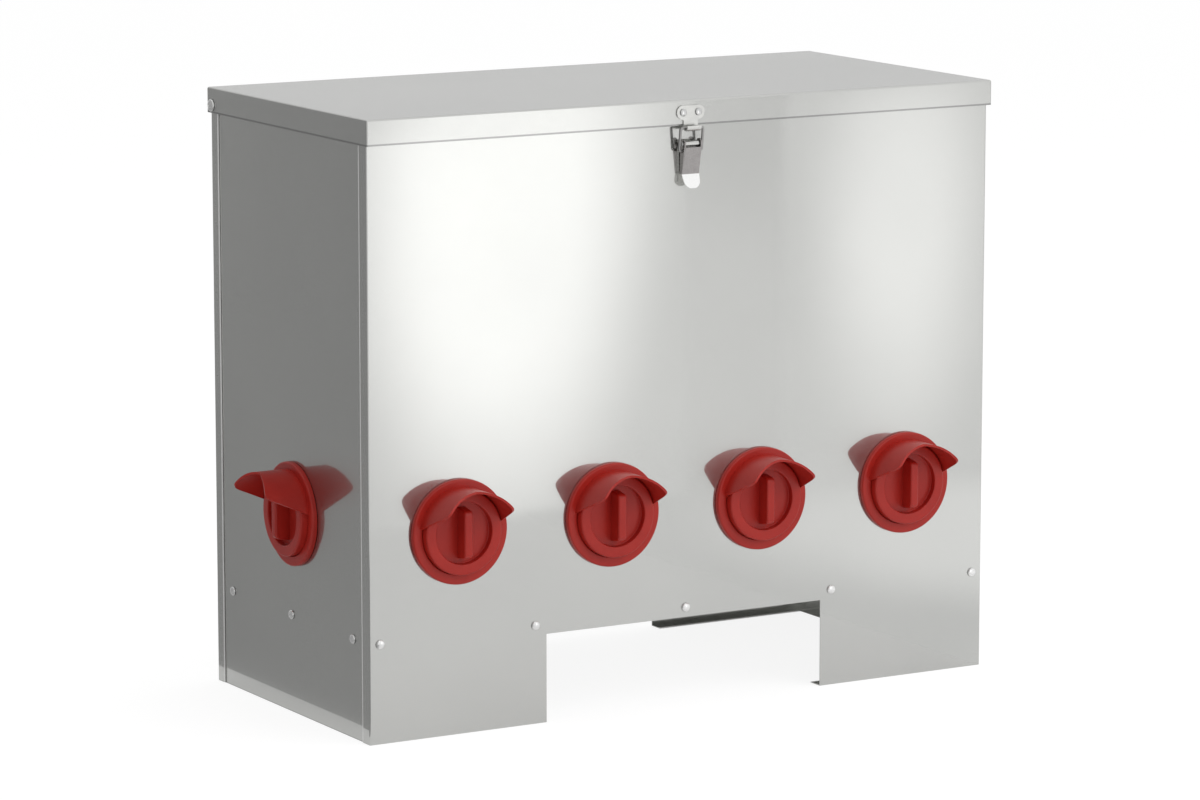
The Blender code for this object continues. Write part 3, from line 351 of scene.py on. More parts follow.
def rounded_edges(obj, width, segments=3, limit=50):
    """A Bevel on every edge where the surface turns by more than limit degrees."""
    bevel = obj.modifiers.new("edges", "BEVEL")
    bevel.width = width
    bevel.segments = segments
    bevel.limit_method = "ANGLE"
    bevel.angle_limit = math.radians(limit)
    return obj


def cutting_block(name, middle, size):
    """A block for a Boolean to cut with."""
    bm = bmesh.new()
    bmesh.ops.create_cube(bm, size=1.0)
    place = Matrix.Translation(middle) @ Matrix.Diagonal((*size, 1.0))
    bmesh.ops.transform(bm, matrix=place, verts=bm.verts)
    return object_from(name, bm)


def cut_with(obj, block):
    """A Boolean that takes a block's space out of an object."""
    cut = obj.modifiers.new("cut", "BOOLEAN")
    cut.operation = "DIFFERENCE"
    cut.solver = "EXACT"
    cut.object = block


print("a softened corner has", len(softened([(0, 0), (1, 0, 0.2), (1, 1)])) - 2, "points")

# %% [markdown]
# ## Baking and finishing a shape
# Every piece ends as one plain mesh at the origin, with its place in its mesh and its modifiers
# baked in. It then rides on its body, so that it moves with it, and the nodes of the model that it
# stands for are hidden. Shading is smooth over soft turns and sharp over hard ones, and a Weighted
# Normal modifier keeps large flat faces flat beside their small rounded corners.

# %% Baking and finishing a shape
SHARP_FROM = math.radians(35)


def baked_mesh(obj):
    """The object's mesh as its modifiers leave it, and the object itself removed."""
    bpy.context.view_layer.update()
    graph = bpy.context.evaluated_depsgraph_get()
    mesh = bpy.data.meshes.new_from_object(obj.evaluated_get(graph), depsgraph=graph)
    bpy.data.objects.remove(obj, do_unlink=True)
    return mesh


def together(name, *objects):
    """One object from several, each with its modifiers baked in."""
    bm = bmesh.new()
    for obj in objects:
        place = obj.matrix_world.copy()
        mesh = baked_mesh(obj)
        mesh.transform(place)
        bm.from_mesh(mesh)
        bpy.data.meshes.remove(mesh)
    return object_from(name, bm)


def finished(name, mesh, place, body, finish, nodes, flat=False):
    """A plain mesh put in its place, which rides on a body and stands for the model's nodes.
    With flat, no turn is smoothed over, as on folded plate."""
    mesh = mesh.copy()
    mesh.transform(place)
    mesh.materials.clear()
    mesh.materials.append(finish)
    mesh.shade_smooth()
    mesh.set_sharp_from_angle(angle=SHARP_FROM)
    if flat:
        mesh.shade_flat()
    blank = bpy.data.objects.new(name + "_blank", mesh)
    bpy.context.scene.collection.objects.link(blank)
    even = blank.modifiers.new("even_shading", "WEIGHTED_NORMAL")
    even.keep_sharp = True
    mesh = baked_mesh(blank)
    mesh.name = name
    piece = bpy.data.objects.new(name, mesh)
    bpy.context.scene.collection.objects.link(piece)
    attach(piece, body)
    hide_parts(*nodes)


print("shading turns sharp from", round(math.degrees(SHARP_FROM)), "degrees")

# %% [markdown]
# ## Folded sheets with soft folds
# The model's sheets have the right folds, holes and hems, but their corners are perfectly sharp.
# Bent sheet always has a small radius, and that radius catches a thin line of light along every
# fold. Each sheet is copied, its loose triangles are joined into whole faces, and a Bevel rounds
# the corners inwards, so that the size stays the same. The photograph shows the lid's folds
# without that line, so they get a much smaller radius.

# %% Round the folds of the sheets
ONE_PLANE = math.radians(0.5)
FOLD_RADIUS = 0.0002
LID_FOLD_RADIUS = 0.00006


def rounded_copy(node, radius, segments=3):
    """The model's own shape with its triangles merged and its corners rounded."""
    bm = bmesh.new()
    bm.from_mesh(frame["nodes"][node].data)
    bmesh.ops.remove_doubles(bm, verts=bm.verts, dist=MERGE)
    bmesh.ops.dissolve_limit(bm, angle_limit=ONE_PLANE, verts=bm.verts, edges=bm.edges)
    return rounded_edges(object_from(node + "_copy", bm), radius, segments)


def refine(pieces, radius, segments=3):
    """Finishes pieces that keep the model's own shape, with their corners rounded."""
    for name, (node, body, finish, slot) in pieces.items():
        mesh = baked_mesh(rounded_copy(node, radius, segments))
        finished(name, mesh, HERE, body, finish, [node])
        print(name, "faces", len(mesh.polygons))


SHEETS = {
    "front_wall": ("front_panel", "feeder_body", front_metal, "body_sheet"),
    "back_wall": ("back_panel", "feeder_body", wall_metal, "body_sheet"),
    "left_side_wall": ("left_side_panel", "feeder_body", side_metal, "body_sheet"),
    "right_side_wall": ("right_side_panel", "feeder_body", side_metal, "body_sheet"),
    "feed_tray": ("floor_tray", "feeder_body", tray_metal, "body_sheet"),
}
refine(SHEETS, FOLD_RADIUS)
refine({"folded_lid": ("lid", "lid", lid_metal, "lid_sheet")}, LID_FOLD_RADIUS)

# %% [markdown]
# ## The latch's plates, its pin and the lid's nuts
# These small solids also have the right shape already, so they get the same treatment, with a
# radius of their own and fewer segments.

# %% Round the small plates
PLATE_RADIUS = 0.00025
PLATES = {
    "latch_base_plate": ("latch_base", "feeder_body", catch_plate, "latch_steel"),
    "lever_pin": ("latch_pin", "feeder_body", zinc_plate, "latch_steel"),
    "lid_catch": ("latch_catch", "lid", catch_plate, "latch_steel"),
    "lid_nut_left_side": ("lid_nut_left", "feeder_body", zinc_plate, "fastener_zinc"),
    "lid_nut_right_side": ("lid_nut_right", "feeder_body", zinc_plate, "fastener_zinc"),
}
refine(PLATES, PLATE_RADIUS, segments=2)

# %% [markdown]
# ## The latch's lever
# The lever is a channel that hangs from the pin. The photograph shows the bright roll of the base
# in front of it, so the channel's web starts below the pin, and its lower end lies close to the
# wall. The model's lever is cut open at its top, then its lower part is drawn up and in, and its
# tongue is made longer and wider. All heights here are measured from the pin.

# %% Open and lean the lever
joints = {joint["name"]: joint for joint in frame["joints"]}
pin = Vector(joints["lever_swing"]["pos_m"])
WINDOW_HALF = 0.0073
WINDOW_DEPTH = 0.004
WINDOW_HEIGHT = 0.010
WINDOW_AHEAD = -0.0042
WINDOW_BOTTOM = -0.0030
STRAIGHT_TO = -0.0080
BEND_WAS, BEND_IS = -0.0305, -0.0262
TONGUE_STRETCH = 1.10
TONGUE_WIDER = 1.28
SHOULDER = 0.0020
LEAN_IN = 0.0021

lever = rounded_copy("latch_lever", PLATE_RADIUS, segments=2)
window_middle = pin + Vector((0, WINDOW_AHEAD, WINDOW_BOTTOM + WINDOW_HEIGHT / 2))
window = cutting_block(
    "lever_window", window_middle, (2 * WINDOW_HALF, WINDOW_DEPTH, WINDOW_HEIGHT)
)
cut_with(lever, window)
# The window is cut before the edges are rounded, so that its own edges are rounded too.
lever.modifiers.move(1, 0)
lever_mesh = baked_mesh(lever)
bpy.data.objects.remove(window, do_unlink=True)
for vert in lever_mesh.vertices:
    below = vert.co.z - pin.z
    if below < STRAIGHT_TO:
        down = min((STRAIGHT_TO - below) / (STRAIGHT_TO - BEND_WAS), 1.0)
        past = max(BEND_WAS - below, 0.0)
        drawn = STRAIGHT_TO + (BEND_IS - STRAIGHT_TO) * down - past * TONGUE_STRETCH
        vert.co.z = pin.z + drawn
        vert.co.y += LEAN_IN * down
        if past > SHOULDER:
            vert.co.x *= TONGUE_WIDER
print("lever hangs", round(pin.z - min(v.co.z for v in lever_mesh.vertices), 4), "below its pin")

# %% [markdown]
# ## The lever's tongue and its painted highlight
# The rounded tongue shows much brighter than the rest, and that brightness is a painted highlight.
# It is one piece with the lever, so the finish changes by height: below the bend the nickel's
# colour gives way to a near-white one. The lever is folded from plate, so it is shaded flat and
# its bends stay crisp.

# %% Paint the tongue's highlight and finish the lever
TONGUE_PAINTED_HIGHLIGHT = (0.93, 0.93, 0.92)
HIGHLIGHT_FADE = 0.0001

tree = nickel_plate.node_tree
shader = tree.nodes["Principled BSDF"]
plain = shader.inputs["Base Color"].links[0].from_socket
bend = pin.z + BEND_IS
height = object_axis(tree, "Z")
above = spread_to(tree, height, 0.0, 1.0, bend - HIGHLIGHT_FADE, bend + HIGHLIGHT_FADE)
# Below the bend the base colour turns into the painted highlight.
tree.links.new(between(tree, above, TONGUE_PAINTED_HIGHLIGHT, plain), shader.inputs["Base Color"])
finished(
    "latch_handle", lever_mesh, HERE, "latch_lever",
    nickel_plate, ["latch_lever"], flat=True,
)
print("lever finished, bright below", round(bend, 4))

# %% [markdown]
# ## Helpers for Geometry Nodes
# A Geometry Nodes tree is built in the script, with a named input for each size, so that the same
# tree could be used by hand on another object. Each tree ends by realising its instances and
# setting the material, and its result is then kept as a plain mesh.

# %% Trees with named inputs
def new_tree(name, sizes):
    """A tree with one input for each size, and the nodes at its two ends."""
    tree = bpy.data.node_groups.new(name, "GeometryNodeTree")
    kinds = {float: "NodeSocketFloat", int: "NodeSocketInt"}
    tree.interface.new_socket("Geometry", in_out="INPUT", socket_type="NodeSocketGeometry")
    for key, value in sizes.items():
        kind = kinds.get(type(value), "NodeSocketObject")
        tree.interface.new_socket(key, in_out="INPUT", socket_type=kind)
    tree.interface.new_socket("Material", in_out="INPUT", socket_type="NodeSocketMaterial")
    tree.interface.new_socket("Geometry", in_out="OUTPUT", socket_type="NodeSocketGeometry")
    return tree, tree.nodes.new("NodeGroupInput"), tree.nodes.new("NodeGroupOutput")


def wire(tree, node, **values):
    """Plugs sockets or plain values into a node's inputs, by name, or by place as i0, i1, i2."""
    for key, value in values.items():
        by_place = key[0] == "i" and key[1:].isdigit()
        socket = node.inputs[int(key[1:])] if by_place else node.inputs[key]
        if isinstance(value, bpy.types.NodeSocket):
            tree.links.new(value, socket)
        else:
            socket.default_value = value
    return node


def calc(tree, operation, *values):
    """One Math node, whose result is a socket."""
    node = add_node(tree, "ShaderNodeMath", operation=operation)
    wire(tree, node, **{f"i{n}": value for n, value in enumerate(values)})
    return node.outputs[0]


def close_tree(tree, geometry, ends):
    """Realises instances, sets the material and wires the result to the tree's output."""
    start, end = ends
    real = wire(tree, tree.nodes.new("GeometryNodeRealizeInstances"), Geometry=geometry)
    dressed = tree.nodes.new("GeometryNodeSetMaterial")
    wire(tree, dressed, Geometry=real.outputs[0], Material=start.outputs["Material"])
    tree.links.new(dressed.outputs[0], end.inputs[0])


def grown(name, bm, tree, sizes, finish):
    """An object with the tree as its modifier, each input set by its socket's identifier."""
    obj = object_from(name, bm)
    modifier = obj.modifiers.new("nodes", "NODES")
    modifier.node_group = tree
    for item in tree.interface.items_tree:
        if item.item_type == "SOCKET" and item.in_out == "INPUT" and item.name in sizes:
            modifier[item.identifier] = sizes[item.name]
        if item.item_type == "SOCKET" and item.name == "Material":
            modifier[item.identifier] = finish
    return obj


print("helpers for trees ready")

# %% [markdown]
# ## The visor over each port
# The visor is the port's most telling form: a tube wall cut so that it juts out like a bill, with
# a wing tip on either side. Its rule is simple. Over the top the lip stands out by a length that
# grows towards the tips, and past a tip it drops steeply to the flange. A Smooth Minimum of the
# two lines rounds the tip. The tree bends a flat grid of (angle, share of height) by that rule.

# %% Grow the visor from a grid
VISOR = {
    "Radius": 0.03875,
    "Foot": 0.0025,
    "Flange": 0.0050,
    "Brow Reach": 0.0325,
    "Tip Reach": 0.0427,
    "Tip Angle": math.radians(55),
    "Foot Angle": math.radians(82),
    "Tip Round": 0.0155,
    "Columns": 121,
    "Rows": 25,
}
tree, start, end = new_tree("visor_by_rule", VISOR)
size = start.outputs
grid = tree.nodes.new("GeometryNodeMeshGrid")
whole_angle = calc(tree, "MULTIPLY", size["Foot Angle"], 2.0)
grid_sizes = {"Size X": whole_angle, "Size Y": 1.0}
wire(tree, grid, **grid_sizes, **{"Vertices X": size["Columns"], "Vertices Y": size["Rows"]})
split = tree.nodes.new("ShaderNodeSeparateXYZ")
tree.links.new(tree.nodes.new("GeometryNodeInputPosition").outputs[0], split.inputs[0])
# The grid is centred, so its X is the angle from the top, and its Y plus a half is the share.
angle = split.outputs["X"]
share = calc(tree, "ADD", split.outputs["Y"], 0.5)
turn = calc(tree, "ABSOLUTE", angle)

brow_rise = calc(tree, "SUBTRACT", size["Tip Reach"], size["Brow Reach"])
growth = calc(tree, "DIVIDE", brow_rise, size["Tip Angle"])
brow = calc(tree, "MULTIPLY_ADD", growth, turn, size["Brow Reach"])
tip_rise = calc(tree, "SUBTRACT", size["Tip Reach"], size["Flange"])
cheek_angle = calc(tree, "SUBTRACT", size["Foot Angle"], size["Tip Angle"])
drop = calc(tree, "DIVIDE", tip_rise, cheek_angle)
past = calc(tree, "SUBTRACT", size["Foot Angle"], turn)
cheek = calc(tree, "MULTIPLY_ADD", drop, past, size["Flange"])
lip = calc(tree, "SMOOTH_MIN", brow, cheek, size["Tip Round"])
above_foot = calc(tree, "SUBTRACT", lip, size["Foot"])
height = calc(tree, "MULTIPLY_ADD", share, above_foot, size["Foot"])
bent = wire(
    tree,
    tree.nodes.new("ShaderNodeCombineXYZ"),
    X=calc(tree, "MULTIPLY", size["Radius"], calc(tree, "SINE", angle)),
    Y=calc(tree, "MULTIPLY", size["Radius"], calc(tree, "COSINE", angle)),
    Z=height,
)
moved = tree.nodes.new("GeometryNodeSetPosition")
wire(tree, moved, Geometry=grid.outputs[0], Position=bent.outputs[0])
close_tree(tree, moved.outputs[0], (start, end))
print("visor tree has", len(tree.nodes), "nodes")

# %% [markdown]
# ## Give the visor its wall
# The tree makes a sheet without thickness. Its faces are made to look outwards, Solidify adds the
# wall on the inner side, and a Bevel softens the lip, which catches the light in the photograph.

# %% Thicken the visor
VISOR_WALL = 0.0020
VISOR_SOFT = 0.0006

visor_sheet = baked_mesh(grown("visor", bmesh.new(), tree, VISOR, red_plastic))
bm = bmesh.new()
bm.from_mesh(visor_sheet)
crown = max(bm.faces, key=lambda face: face.calc_center_median().y)
if crown.normal.y < 0:
    bmesh.ops.reverse_faces(bm, faces=bm.faces)
visor = object_from("visor", bm)
wall = visor.modifiers.new("wall", "SOLIDIFY")
wall.thickness = VISOR_WALL
wall.offset = -1.0
wall.use_even_offset = True
rounded_edges(visor, VISOR_SOFT, limit=60)
print("visor lip reaches", round(max(v.co.z for v in visor_sheet.vertices), 5))

# %% [markdown]
# ## The port behind the visor
# A port is a flange, a sleeve through the wall and a scoop that holds feed where a beak can reach
# it. It is round, so it is turned, and the top half of the scoop is then cut away with a Boolean.

# %% Turn the port and cut its scoop
ROUND_SIDES = 96
BORE = 0.032
SLEEVE = 0.035
POCKET = 0.0365
POCKET_FLOOR = 0.0012
FLANGE = 0.045
FLANGE_THICKNESS = 0.0050
GAP = 0.0003
SCOOP = 0.0574
SCOOP_FLOOR = 0.0550
MOUTH_LOW = Vector((-0.05, 0.004, -0.08))
MOUTH_HIGH = Vector((0.05, 0.05, -0.011))
PORT_SOFT = 0.0005

port_profile = softened(
    [
        (0.0, -SCOOP_FLOOR),
        (BORE, -SCOOP_FLOOR, 0.002),
        (BORE, POCKET_FLOOR, 0.0004),
        (POCKET, POCKET_FLOOR, 0.0002),
        (POCKET, FLANGE_THICKNESS, 0.0006),
        (FLANGE, FLANGE_THICKNESS, 0.0019),
        (FLANGE, GAP, 0.0003),
        (SLEEVE, GAP),
        (SLEEVE, -SCOOP, 0.002),
        (0.0, -SCOOP),
    ]
)
port = turned("port", port_profile, ROUND_SIDES)
mouth_middle = (MOUTH_LOW + MOUTH_HIGH) / 2
mouth = cutting_block("scoop_mouth", mouth_middle, MOUTH_HIGH - MOUTH_LOW)
cut_with(port, mouth)
rounded_edges(port, PORT_SOFT, segments=2)
port_shape = together("port_shape", port, visor)
bpy.data.objects.remove(mouth, do_unlink=True)
print("port faces", len(port_shape.data.polygons))

# %% [markdown]
# ## The plug cap
# The cap is a turned disc with a rounded rim and a round recess, and a bar across the recess to
# grip and turn it by. The bar is drawn from the side, given a width, and its edges are rounded.
# Its ends stand clear of the recess wall, so that fingers reach round them.

# %% Turn the cap
CAP = 0.036
CAP_FACE = 0.0116
CAP_FLOOR = 0.0061
CAP_SEAT = 0.0034
CAP_BACK = 0.0036
RECESS = 0.0265
PLUG = 0.0315
PLUG_BORE = 0.029
PLUG_END = -0.008

cap_profile = softened(
    [
        (0.0, CAP_FLOOR),
        (RECESS, CAP_FLOOR, 0.0009),
        (RECESS, CAP_FACE, 0.0012),
        (CAP, CAP_FACE, 0.0018),
        (CAP, CAP_SEAT, 0.0003),
        (PLUG, CAP_SEAT, 0.0002),
        (PLUG, PLUG_END, 0.0005),
        (PLUG_BORE, PLUG_END, 0.0005),
        (PLUG_BORE, CAP_BACK, 0.0005),
        (0.0, CAP_BACK),
    ]
)
cap = turned("cap", cap_profile, ROUND_SIDES)
print("cap stands out", round(CAP_FACE - CAP_SEAT, 4), "from its seat")


# %% Draw the grip and join it to the cap
def prism(name, outline, width):
    """A closed (x, y) outline with a width along Z, centred on z = 0."""
    bm = bmesh.new()
    face = bm.faces.new([bm.verts.new((x, y, -width / 2)) for x, y in outline])
    grown_up = bmesh.ops.extrude_face_region(bm, geom=[face])
    top = [v for v in grown_up["geom"] if isinstance(v, bmesh.types.BMVert)]
    bmesh.ops.translate(bm, verts=top, vec=(0, 0, width))
    bmesh.ops.recalc_face_normals(bm, faces=bm.faces)
    return object_from(name, bm)


GRIP_WIDTH = 0.0080
GRIP_RISE = 0.0080
GRIP_TOP = CAP_FACE + GRIP_RISE
GRIP_ROOT = 0.0049
GRIP_FOOT = 0.0224
GRIP_HEAD = 0.0200
GRIP_CORNER = 0.0042
GRIP_SOFT = 0.0017
# The drawing's x runs up the cap, its y out of it, and its width goes across.
STANDING = Matrix(((0, 0, 1, 0), (1, 0, 0, 0), (0, 1, 0, 0), (0, 0, 0, 1)))

grip_outline = softened(
    [
        (-GRIP_FOOT, GRIP_ROOT),
        (GRIP_FOOT, GRIP_ROOT),
        (GRIP_HEAD, GRIP_TOP, GRIP_CORNER),
        (-GRIP_HEAD, GRIP_TOP, GRIP_CORNER),
    ],
    steps=8,
)
grip = rounded_edges(prism("grip", grip_outline, GRIP_WIDTH), GRIP_SOFT, segments=5)
grip.matrix_world = STANDING
bpy.context.view_layer.update()
cap_shape = together("cap_shape", cap, grip)
print("cap faces", len(cap_shape.data.polygons))

# %% [markdown]
# ## Ring nuts and seals
# Inside the wall a ring nut clamps each port. Its lugs repeat round the ring, so Geometry Nodes
# set one lug on each point of a circle. The seal sits out of sight behind the cap's rim. Nut and
# seal are both flat rings, so one helper turns either.

# %% Turn the two rings
NUT_BORE, NUT_RIM, NUT_HALF = 0.0359, 0.0415, 0.0030
SEAL_BORE, SEAL_RIM, SEAL_HALF = 0.0323, 0.0357, 0.0008
SEAL_SIDES = 72


def flat_ring(name, bore, rim, half_height, soft_bore, soft_rim, sides):
    """A ring turned from a rectangle whose corners are softened at its bore and at its rim."""
    profile = softened(
        [
            (bore, -half_height, soft_bore),
            (bore, half_height, soft_bore),
            (rim, half_height, soft_rim),
            (rim, -half_height, soft_rim),
        ]
    )
    return turned(name, profile + profile[:1], sides)


nut_ring = flat_ring("nut_ring", NUT_BORE, NUT_RIM, NUT_HALF, 0.0004, 0.0006, ROUND_SIDES)
seal_shape = flat_ring("seal_shape", SEAL_BORE, SEAL_RIM, SEAL_HALF, 0.0004, 0.0004, SEAL_SIDES)
print("rings turned, seal faces", len(seal_shape.data.polygons))

# %% Grow the lugs on the ring nut
NUT_SOFT = 0.0004
NUT = {
    "Lug Circle": 0.0421,
    "Lug Length": 0.0026,
    "Lug Width": 0.0110,
    "Lug Height": 0.0060,
    "Lug Count": 6,
}
tree, start, end = new_tree("lugs_round_a_ring", NUT)
size = start.outputs
circle = tree.nodes.new("GeometryNodeMeshCircle")
wire(tree, circle, Radius=size["Lug Circle"], Vertices=size["Lug Count"])
spots = wire(tree, tree.nodes.new("GeometryNodeMeshToPoints"), Mesh=circle.outputs[0])
lug_size = tree.nodes.new("ShaderNodeCombineXYZ")
wire(tree, lug_size, X=size["Lug Length"], Y=size["Lug Width"], Z=size["Lug Height"])
lug = wire(tree, tree.nodes.new("GeometryNodeMeshCube"), Size=lug_size.outputs[0])
outward = add_node(tree, "FunctionNodeAlignRotationToVector", axis="X")
tree.links.new(tree.nodes.new("GeometryNodeInputPosition").outputs[0], outward.inputs["Vector"])
lugs = wire(
    tree,
    tree.nodes.new("GeometryNodeInstanceOnPoints"),
    Points=spots.outputs[0],
    Instance=lug.outputs[0],
    Rotation=outward.outputs[0],
)
both = tree.nodes.new("GeometryNodeJoinGeometry")
tree.links.new(start.outputs["Geometry"], both.inputs[0])
tree.links.new(lugs.outputs[0], both.inputs[0])
close_tree(tree, both.outputs[0], (start, end))
bm = bmesh.new()
bm.from_mesh(baked_mesh(nut_ring))
ring_nut = grown("ring_nut", bm, tree, NUT, red_plastic)
nut_shape = together("nut_shape", rounded_edges(ring_nut, NUT_SOFT, segments=2))
print("ring nut faces", len(nut_shape.data.polygons))

# %% [markdown]
# ## Put the six ports in place
# Each cap turns about its port's axis, and the model gives that axis as a joint: a point on the
# wall's outer face and a direction out of it. A matrix from those two puts every piece in place.

# %% Place ports, caps, ring nuts and seals
PORT_COUNT = 6
NUT_OUT = -0.0041
SEAL_OUT = 0.0023


def port_place(number, out=0.0):
    """Takes +Z to a port's outward direction and +Y to up, and moves a piece out by out."""
    joint = joints[f"cap_{number}_turn"]
    outward = Vector(joint["axis"])
    across = Vector((0, 0, 1)).cross(outward)
    turn = Matrix((across, (0, 0, 1), outward)).transposed().to_4x4()
    return Matrix.Translation(Vector(joint["pos_m"]) + outward * out) @ turn


for number in range(1, PORT_COUNT + 1):
    place = port_place(number)
    finished(
        f"feeding_port_{number}", port_shape.data, place, "feeder_body",
        red_plastic, [f"port_{number}_body"],
    )
    finished(
        f"plug_cap_{number}", cap_shape.data, place, f"cap_{number}",
        red_plastic, [f"port_{number}_cap"],
    )
    finished(
        f"ring_nut_{number}", nut_shape.data, port_place(number, NUT_OUT), "feeder_body",
        red_plastic, [f"port_{number}_ring_nut"],
    )
    finished(
        f"cap_seal_{number}", seal_shape.data, port_place(number, SEAL_OUT), f"cap_{number}_seal",
        seal_rubber, [f"port_{number}_seal"],
    )
for shape in (port_shape, cap_shape, nut_shape, seal_shape):
    bpy.data.objects.remove(shape, do_unlink=True)
print("ports placed", PORT_COUNT)

# %% [markdown]
# ## Screws, bolts and rivets
# Sixteen tapping screws hold the tray, two bolts carry the lid and four rivets hold the latch.
# All have domed heads. Each kind is turned once, from a profile that starts at the head's crown
# and ends at the tail, with the head's seat a hair above z = 0.

# %% Turn one of each fastener
def dome(radius, height, rim, steps=6):
    """The outline of a domed head from its crown to its seat, with a slim upright rim."""
    line = []
    for k in range(steps + 1):
        lean = math.pi / 2 * k / steps
        line.append((radius * math.sin(lean), GAP + rim + (height - rim) * math.cos(lean)))
    return line + [(radius, GAP)]


SCREW_HEAD, BOLT_HEAD, RIVET_HEAD = 0.0024, 0.0030, 0.0014
SCREW_LENGTH, BOLT_LENGTH = 0.0060, 0.0090
THREAD, THREAD_ROOT = 0.0017, 0.0014
THREAD_PITCH, THREAD_TURNS, THREAD_FROM = 0.0008, 6, -0.0010
BOLT_SHANK, RIVET_SHANK = 0.0020, 0.0015
RIVET_TAIL, RIVET_TAIL_RADIUS = -0.0024, 0.0025

screw_profile = dome(0.0040, SCREW_HEAD, rim=0.0005)
screw_profile += [(THREAD, GAP)]
for turn_number in range(THREAD_TURNS):
    depth = THREAD_FROM - turn_number * THREAD_PITCH
    screw_profile += [(THREAD_ROOT, depth + THREAD_PITCH / 2), (THREAD, depth)]
screw_profile += [(0.0004, -SCREW_LENGTH + 0.0001), (0.0, -SCREW_LENGTH)]

# The bolt's head has a shallow dimple in place of the dome's first three points.
bolt_profile = [(0.0, GAP + 0.0016), (0.0015, GAP + 0.0016), (0.0019, GAP + 0.0028)]
bolt_profile += dome(0.0053, BOLT_HEAD, rim=0.0006, steps=8)[3:]
bolt_profile += [(BOLT_SHANK, GAP), (BOLT_SHANK, -BOLT_LENGTH), (0.0, -BOLT_LENGTH)]

rivet_profile = dome(0.0032, RIVET_HEAD, rim=0.0003)
rivet_profile += [(RIVET_SHANK, GAP), (RIVET_SHANK, RIVET_TAIL), (RIVET_TAIL_RADIUS, RIVET_TAIL)]
rivet_profile += [(0.0022, RIVET_TAIL - 0.0009), (0.0, RIVET_TAIL - 0.0010)]
screw_shape = turned("screw_shape", screw_profile, sides=32)
bolt_shape = turned("bolt_shape", bolt_profile, sides=40)
rivet_shape = turned("rivet_shape", rivet_profile, sides=32)
print("screw faces", len(screw_shape.data.polygons), "bolt", len(bolt_shape.data.polygons))

# %% [markdown]
# ## Set the fasteners out
# A shape that repeats is best set out by a tree on a cloud of points. Every point carries the
# direction that its head looks in, as an attribute named facing, and the tree turns each copy to
# it. The points are the seats of the model's own fasteners, so no place is typed in here.

# %% Set the fasteners out on points
FASTENERS = {"Fastener": screw_shape, "Size": 1.0}
tree, start, end = new_tree("fasteners_on_points", FASTENERS)
spots = wire(tree, tree.nodes.new("GeometryNodeMeshToPoints"), Mesh=start.outputs["Geometry"])
fastener = tree.nodes.new("GeometryNodeObjectInfo")
wire(tree, fastener, Object=start.outputs["Fastener"])
facing = add_node(tree, "GeometryNodeInputNamedAttribute", data_type="FLOAT_VECTOR")
facing.inputs["Name"].default_value = "facing"
turned_to = add_node(tree, "FunctionNodeAlignRotationToVector", axis="Z")
tree.links.new(facing.outputs[0], turned_to.inputs["Vector"])
set_out = tree.nodes.new("GeometryNodeInstanceOnPoints")
wire(tree, set_out, Points=spots.outputs[0], Instance=fastener.outputs["Geometry"])
wire(tree, set_out, Rotation=turned_to.outputs[0], Scale=start.outputs["Size"])
close_tree(tree, set_out.outputs[0], (start, end))
print("fastener tree has", len(tree.nodes), "nodes")


# %% Place every screw, bolt and rivet
def seat_of(node, facing, stands_out):
    """The point on the wall under a fastener's head, from the model's box of that fastener."""
    low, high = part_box(node)
    facing = Vector(facing)
    reach = sum(abs(f) * (h - l) / 2 for f, l, h in zip(facing, low, high))
    return (low + high) / 2 + facing * (reach - stands_out)


def fasteners(name, shape, stands_out, directions, body, finish=zinc_plate):
    """One mesh with a fastener at each named node, which looks in that node's direction."""
    bm = bmesh.new()
    layer = bm.verts.layers.float_vector.new("facing")
    for node, facing in directions.items():
        spot = bm.verts.new(seat_of(node, facing, stands_out))
        spot[layer] = facing
    mesh = baked_mesh(grown(name, bm, tree, {"Fastener": shape, "Size": 1.0}, finish))
    finished(name, mesh, HERE, body, finish, list(directions))
    print(name, len(directions), "faces", len(mesh.polygons))


FRONT, BACK, LEFT, RIGHT = (0, -1, 0), (0, 1, 0), (-1, 0, 0), (1, 0, 0)
ROWS = (("front", FRONT, 5), ("back", BACK, 5), ("left", LEFT, 3), ("right", RIGHT, 3))
screws = {f"tray_screw_{row}_{n + 1}": way for row, way, count in ROWS for n in range(count)}
fasteners("tray_screws", screw_shape, GAP + SCREW_HEAD, screws, "feeder_body")
bolts = {"lid_bolt_left": LEFT, "lid_bolt_right": RIGHT}
fasteners("lid_bolts", bolt_shape, GAP + BOLT_HEAD, bolts, "feeder_body")
low_rivets = {"base_rivet_1": FRONT, "base_rivet_2": FRONT}
rivet_out = GAP + RIVET_HEAD
fasteners("base_rivets", rivet_shape, rivet_out, low_rivets, "feeder_body", rivet_steel)
high_rivets = {"catch_rivet_1": FRONT, "catch_rivet_2": FRONT}
fasteners("catch_rivets", rivet_shape, rivet_out, high_rivets, "lid", rivet_steel)
for shape in (screw_shape, bolt_shape, rivet_shape):
    bpy.data.objects.remove(shape, do_unlink=True)

# %% [markdown]
# ## The wire bail
# The bail is one length of spring wire: its feet turn in to the lever, two legs lean outwards and
# a bar joins them in the hook. The path is laid down as points, and a tree turns it into a curve
# and sweeps a round section along it, so the wire's thickness is a single number.

# %% Sweep the bail along its path
BAIL = {"Wire Radius": 0.0012, "Sides": 20}
BAIL_FOOT = 0.0069
BAIL_HALF = 0.0111
BAIL_BEND = 0.0022
BAIL_RISE = 0.0201
BAIL_LEAN = 0.0025


def arc(centre, radius, start, stop, steps=10):
    """Points on an arc, both ends included."""
    angles = [start + (stop - start) * k / steps for k in range(steps + 1)]
    return [(centre[0] + radius * math.cos(a), centre[1] + radius * math.sin(a)) for a in angles]


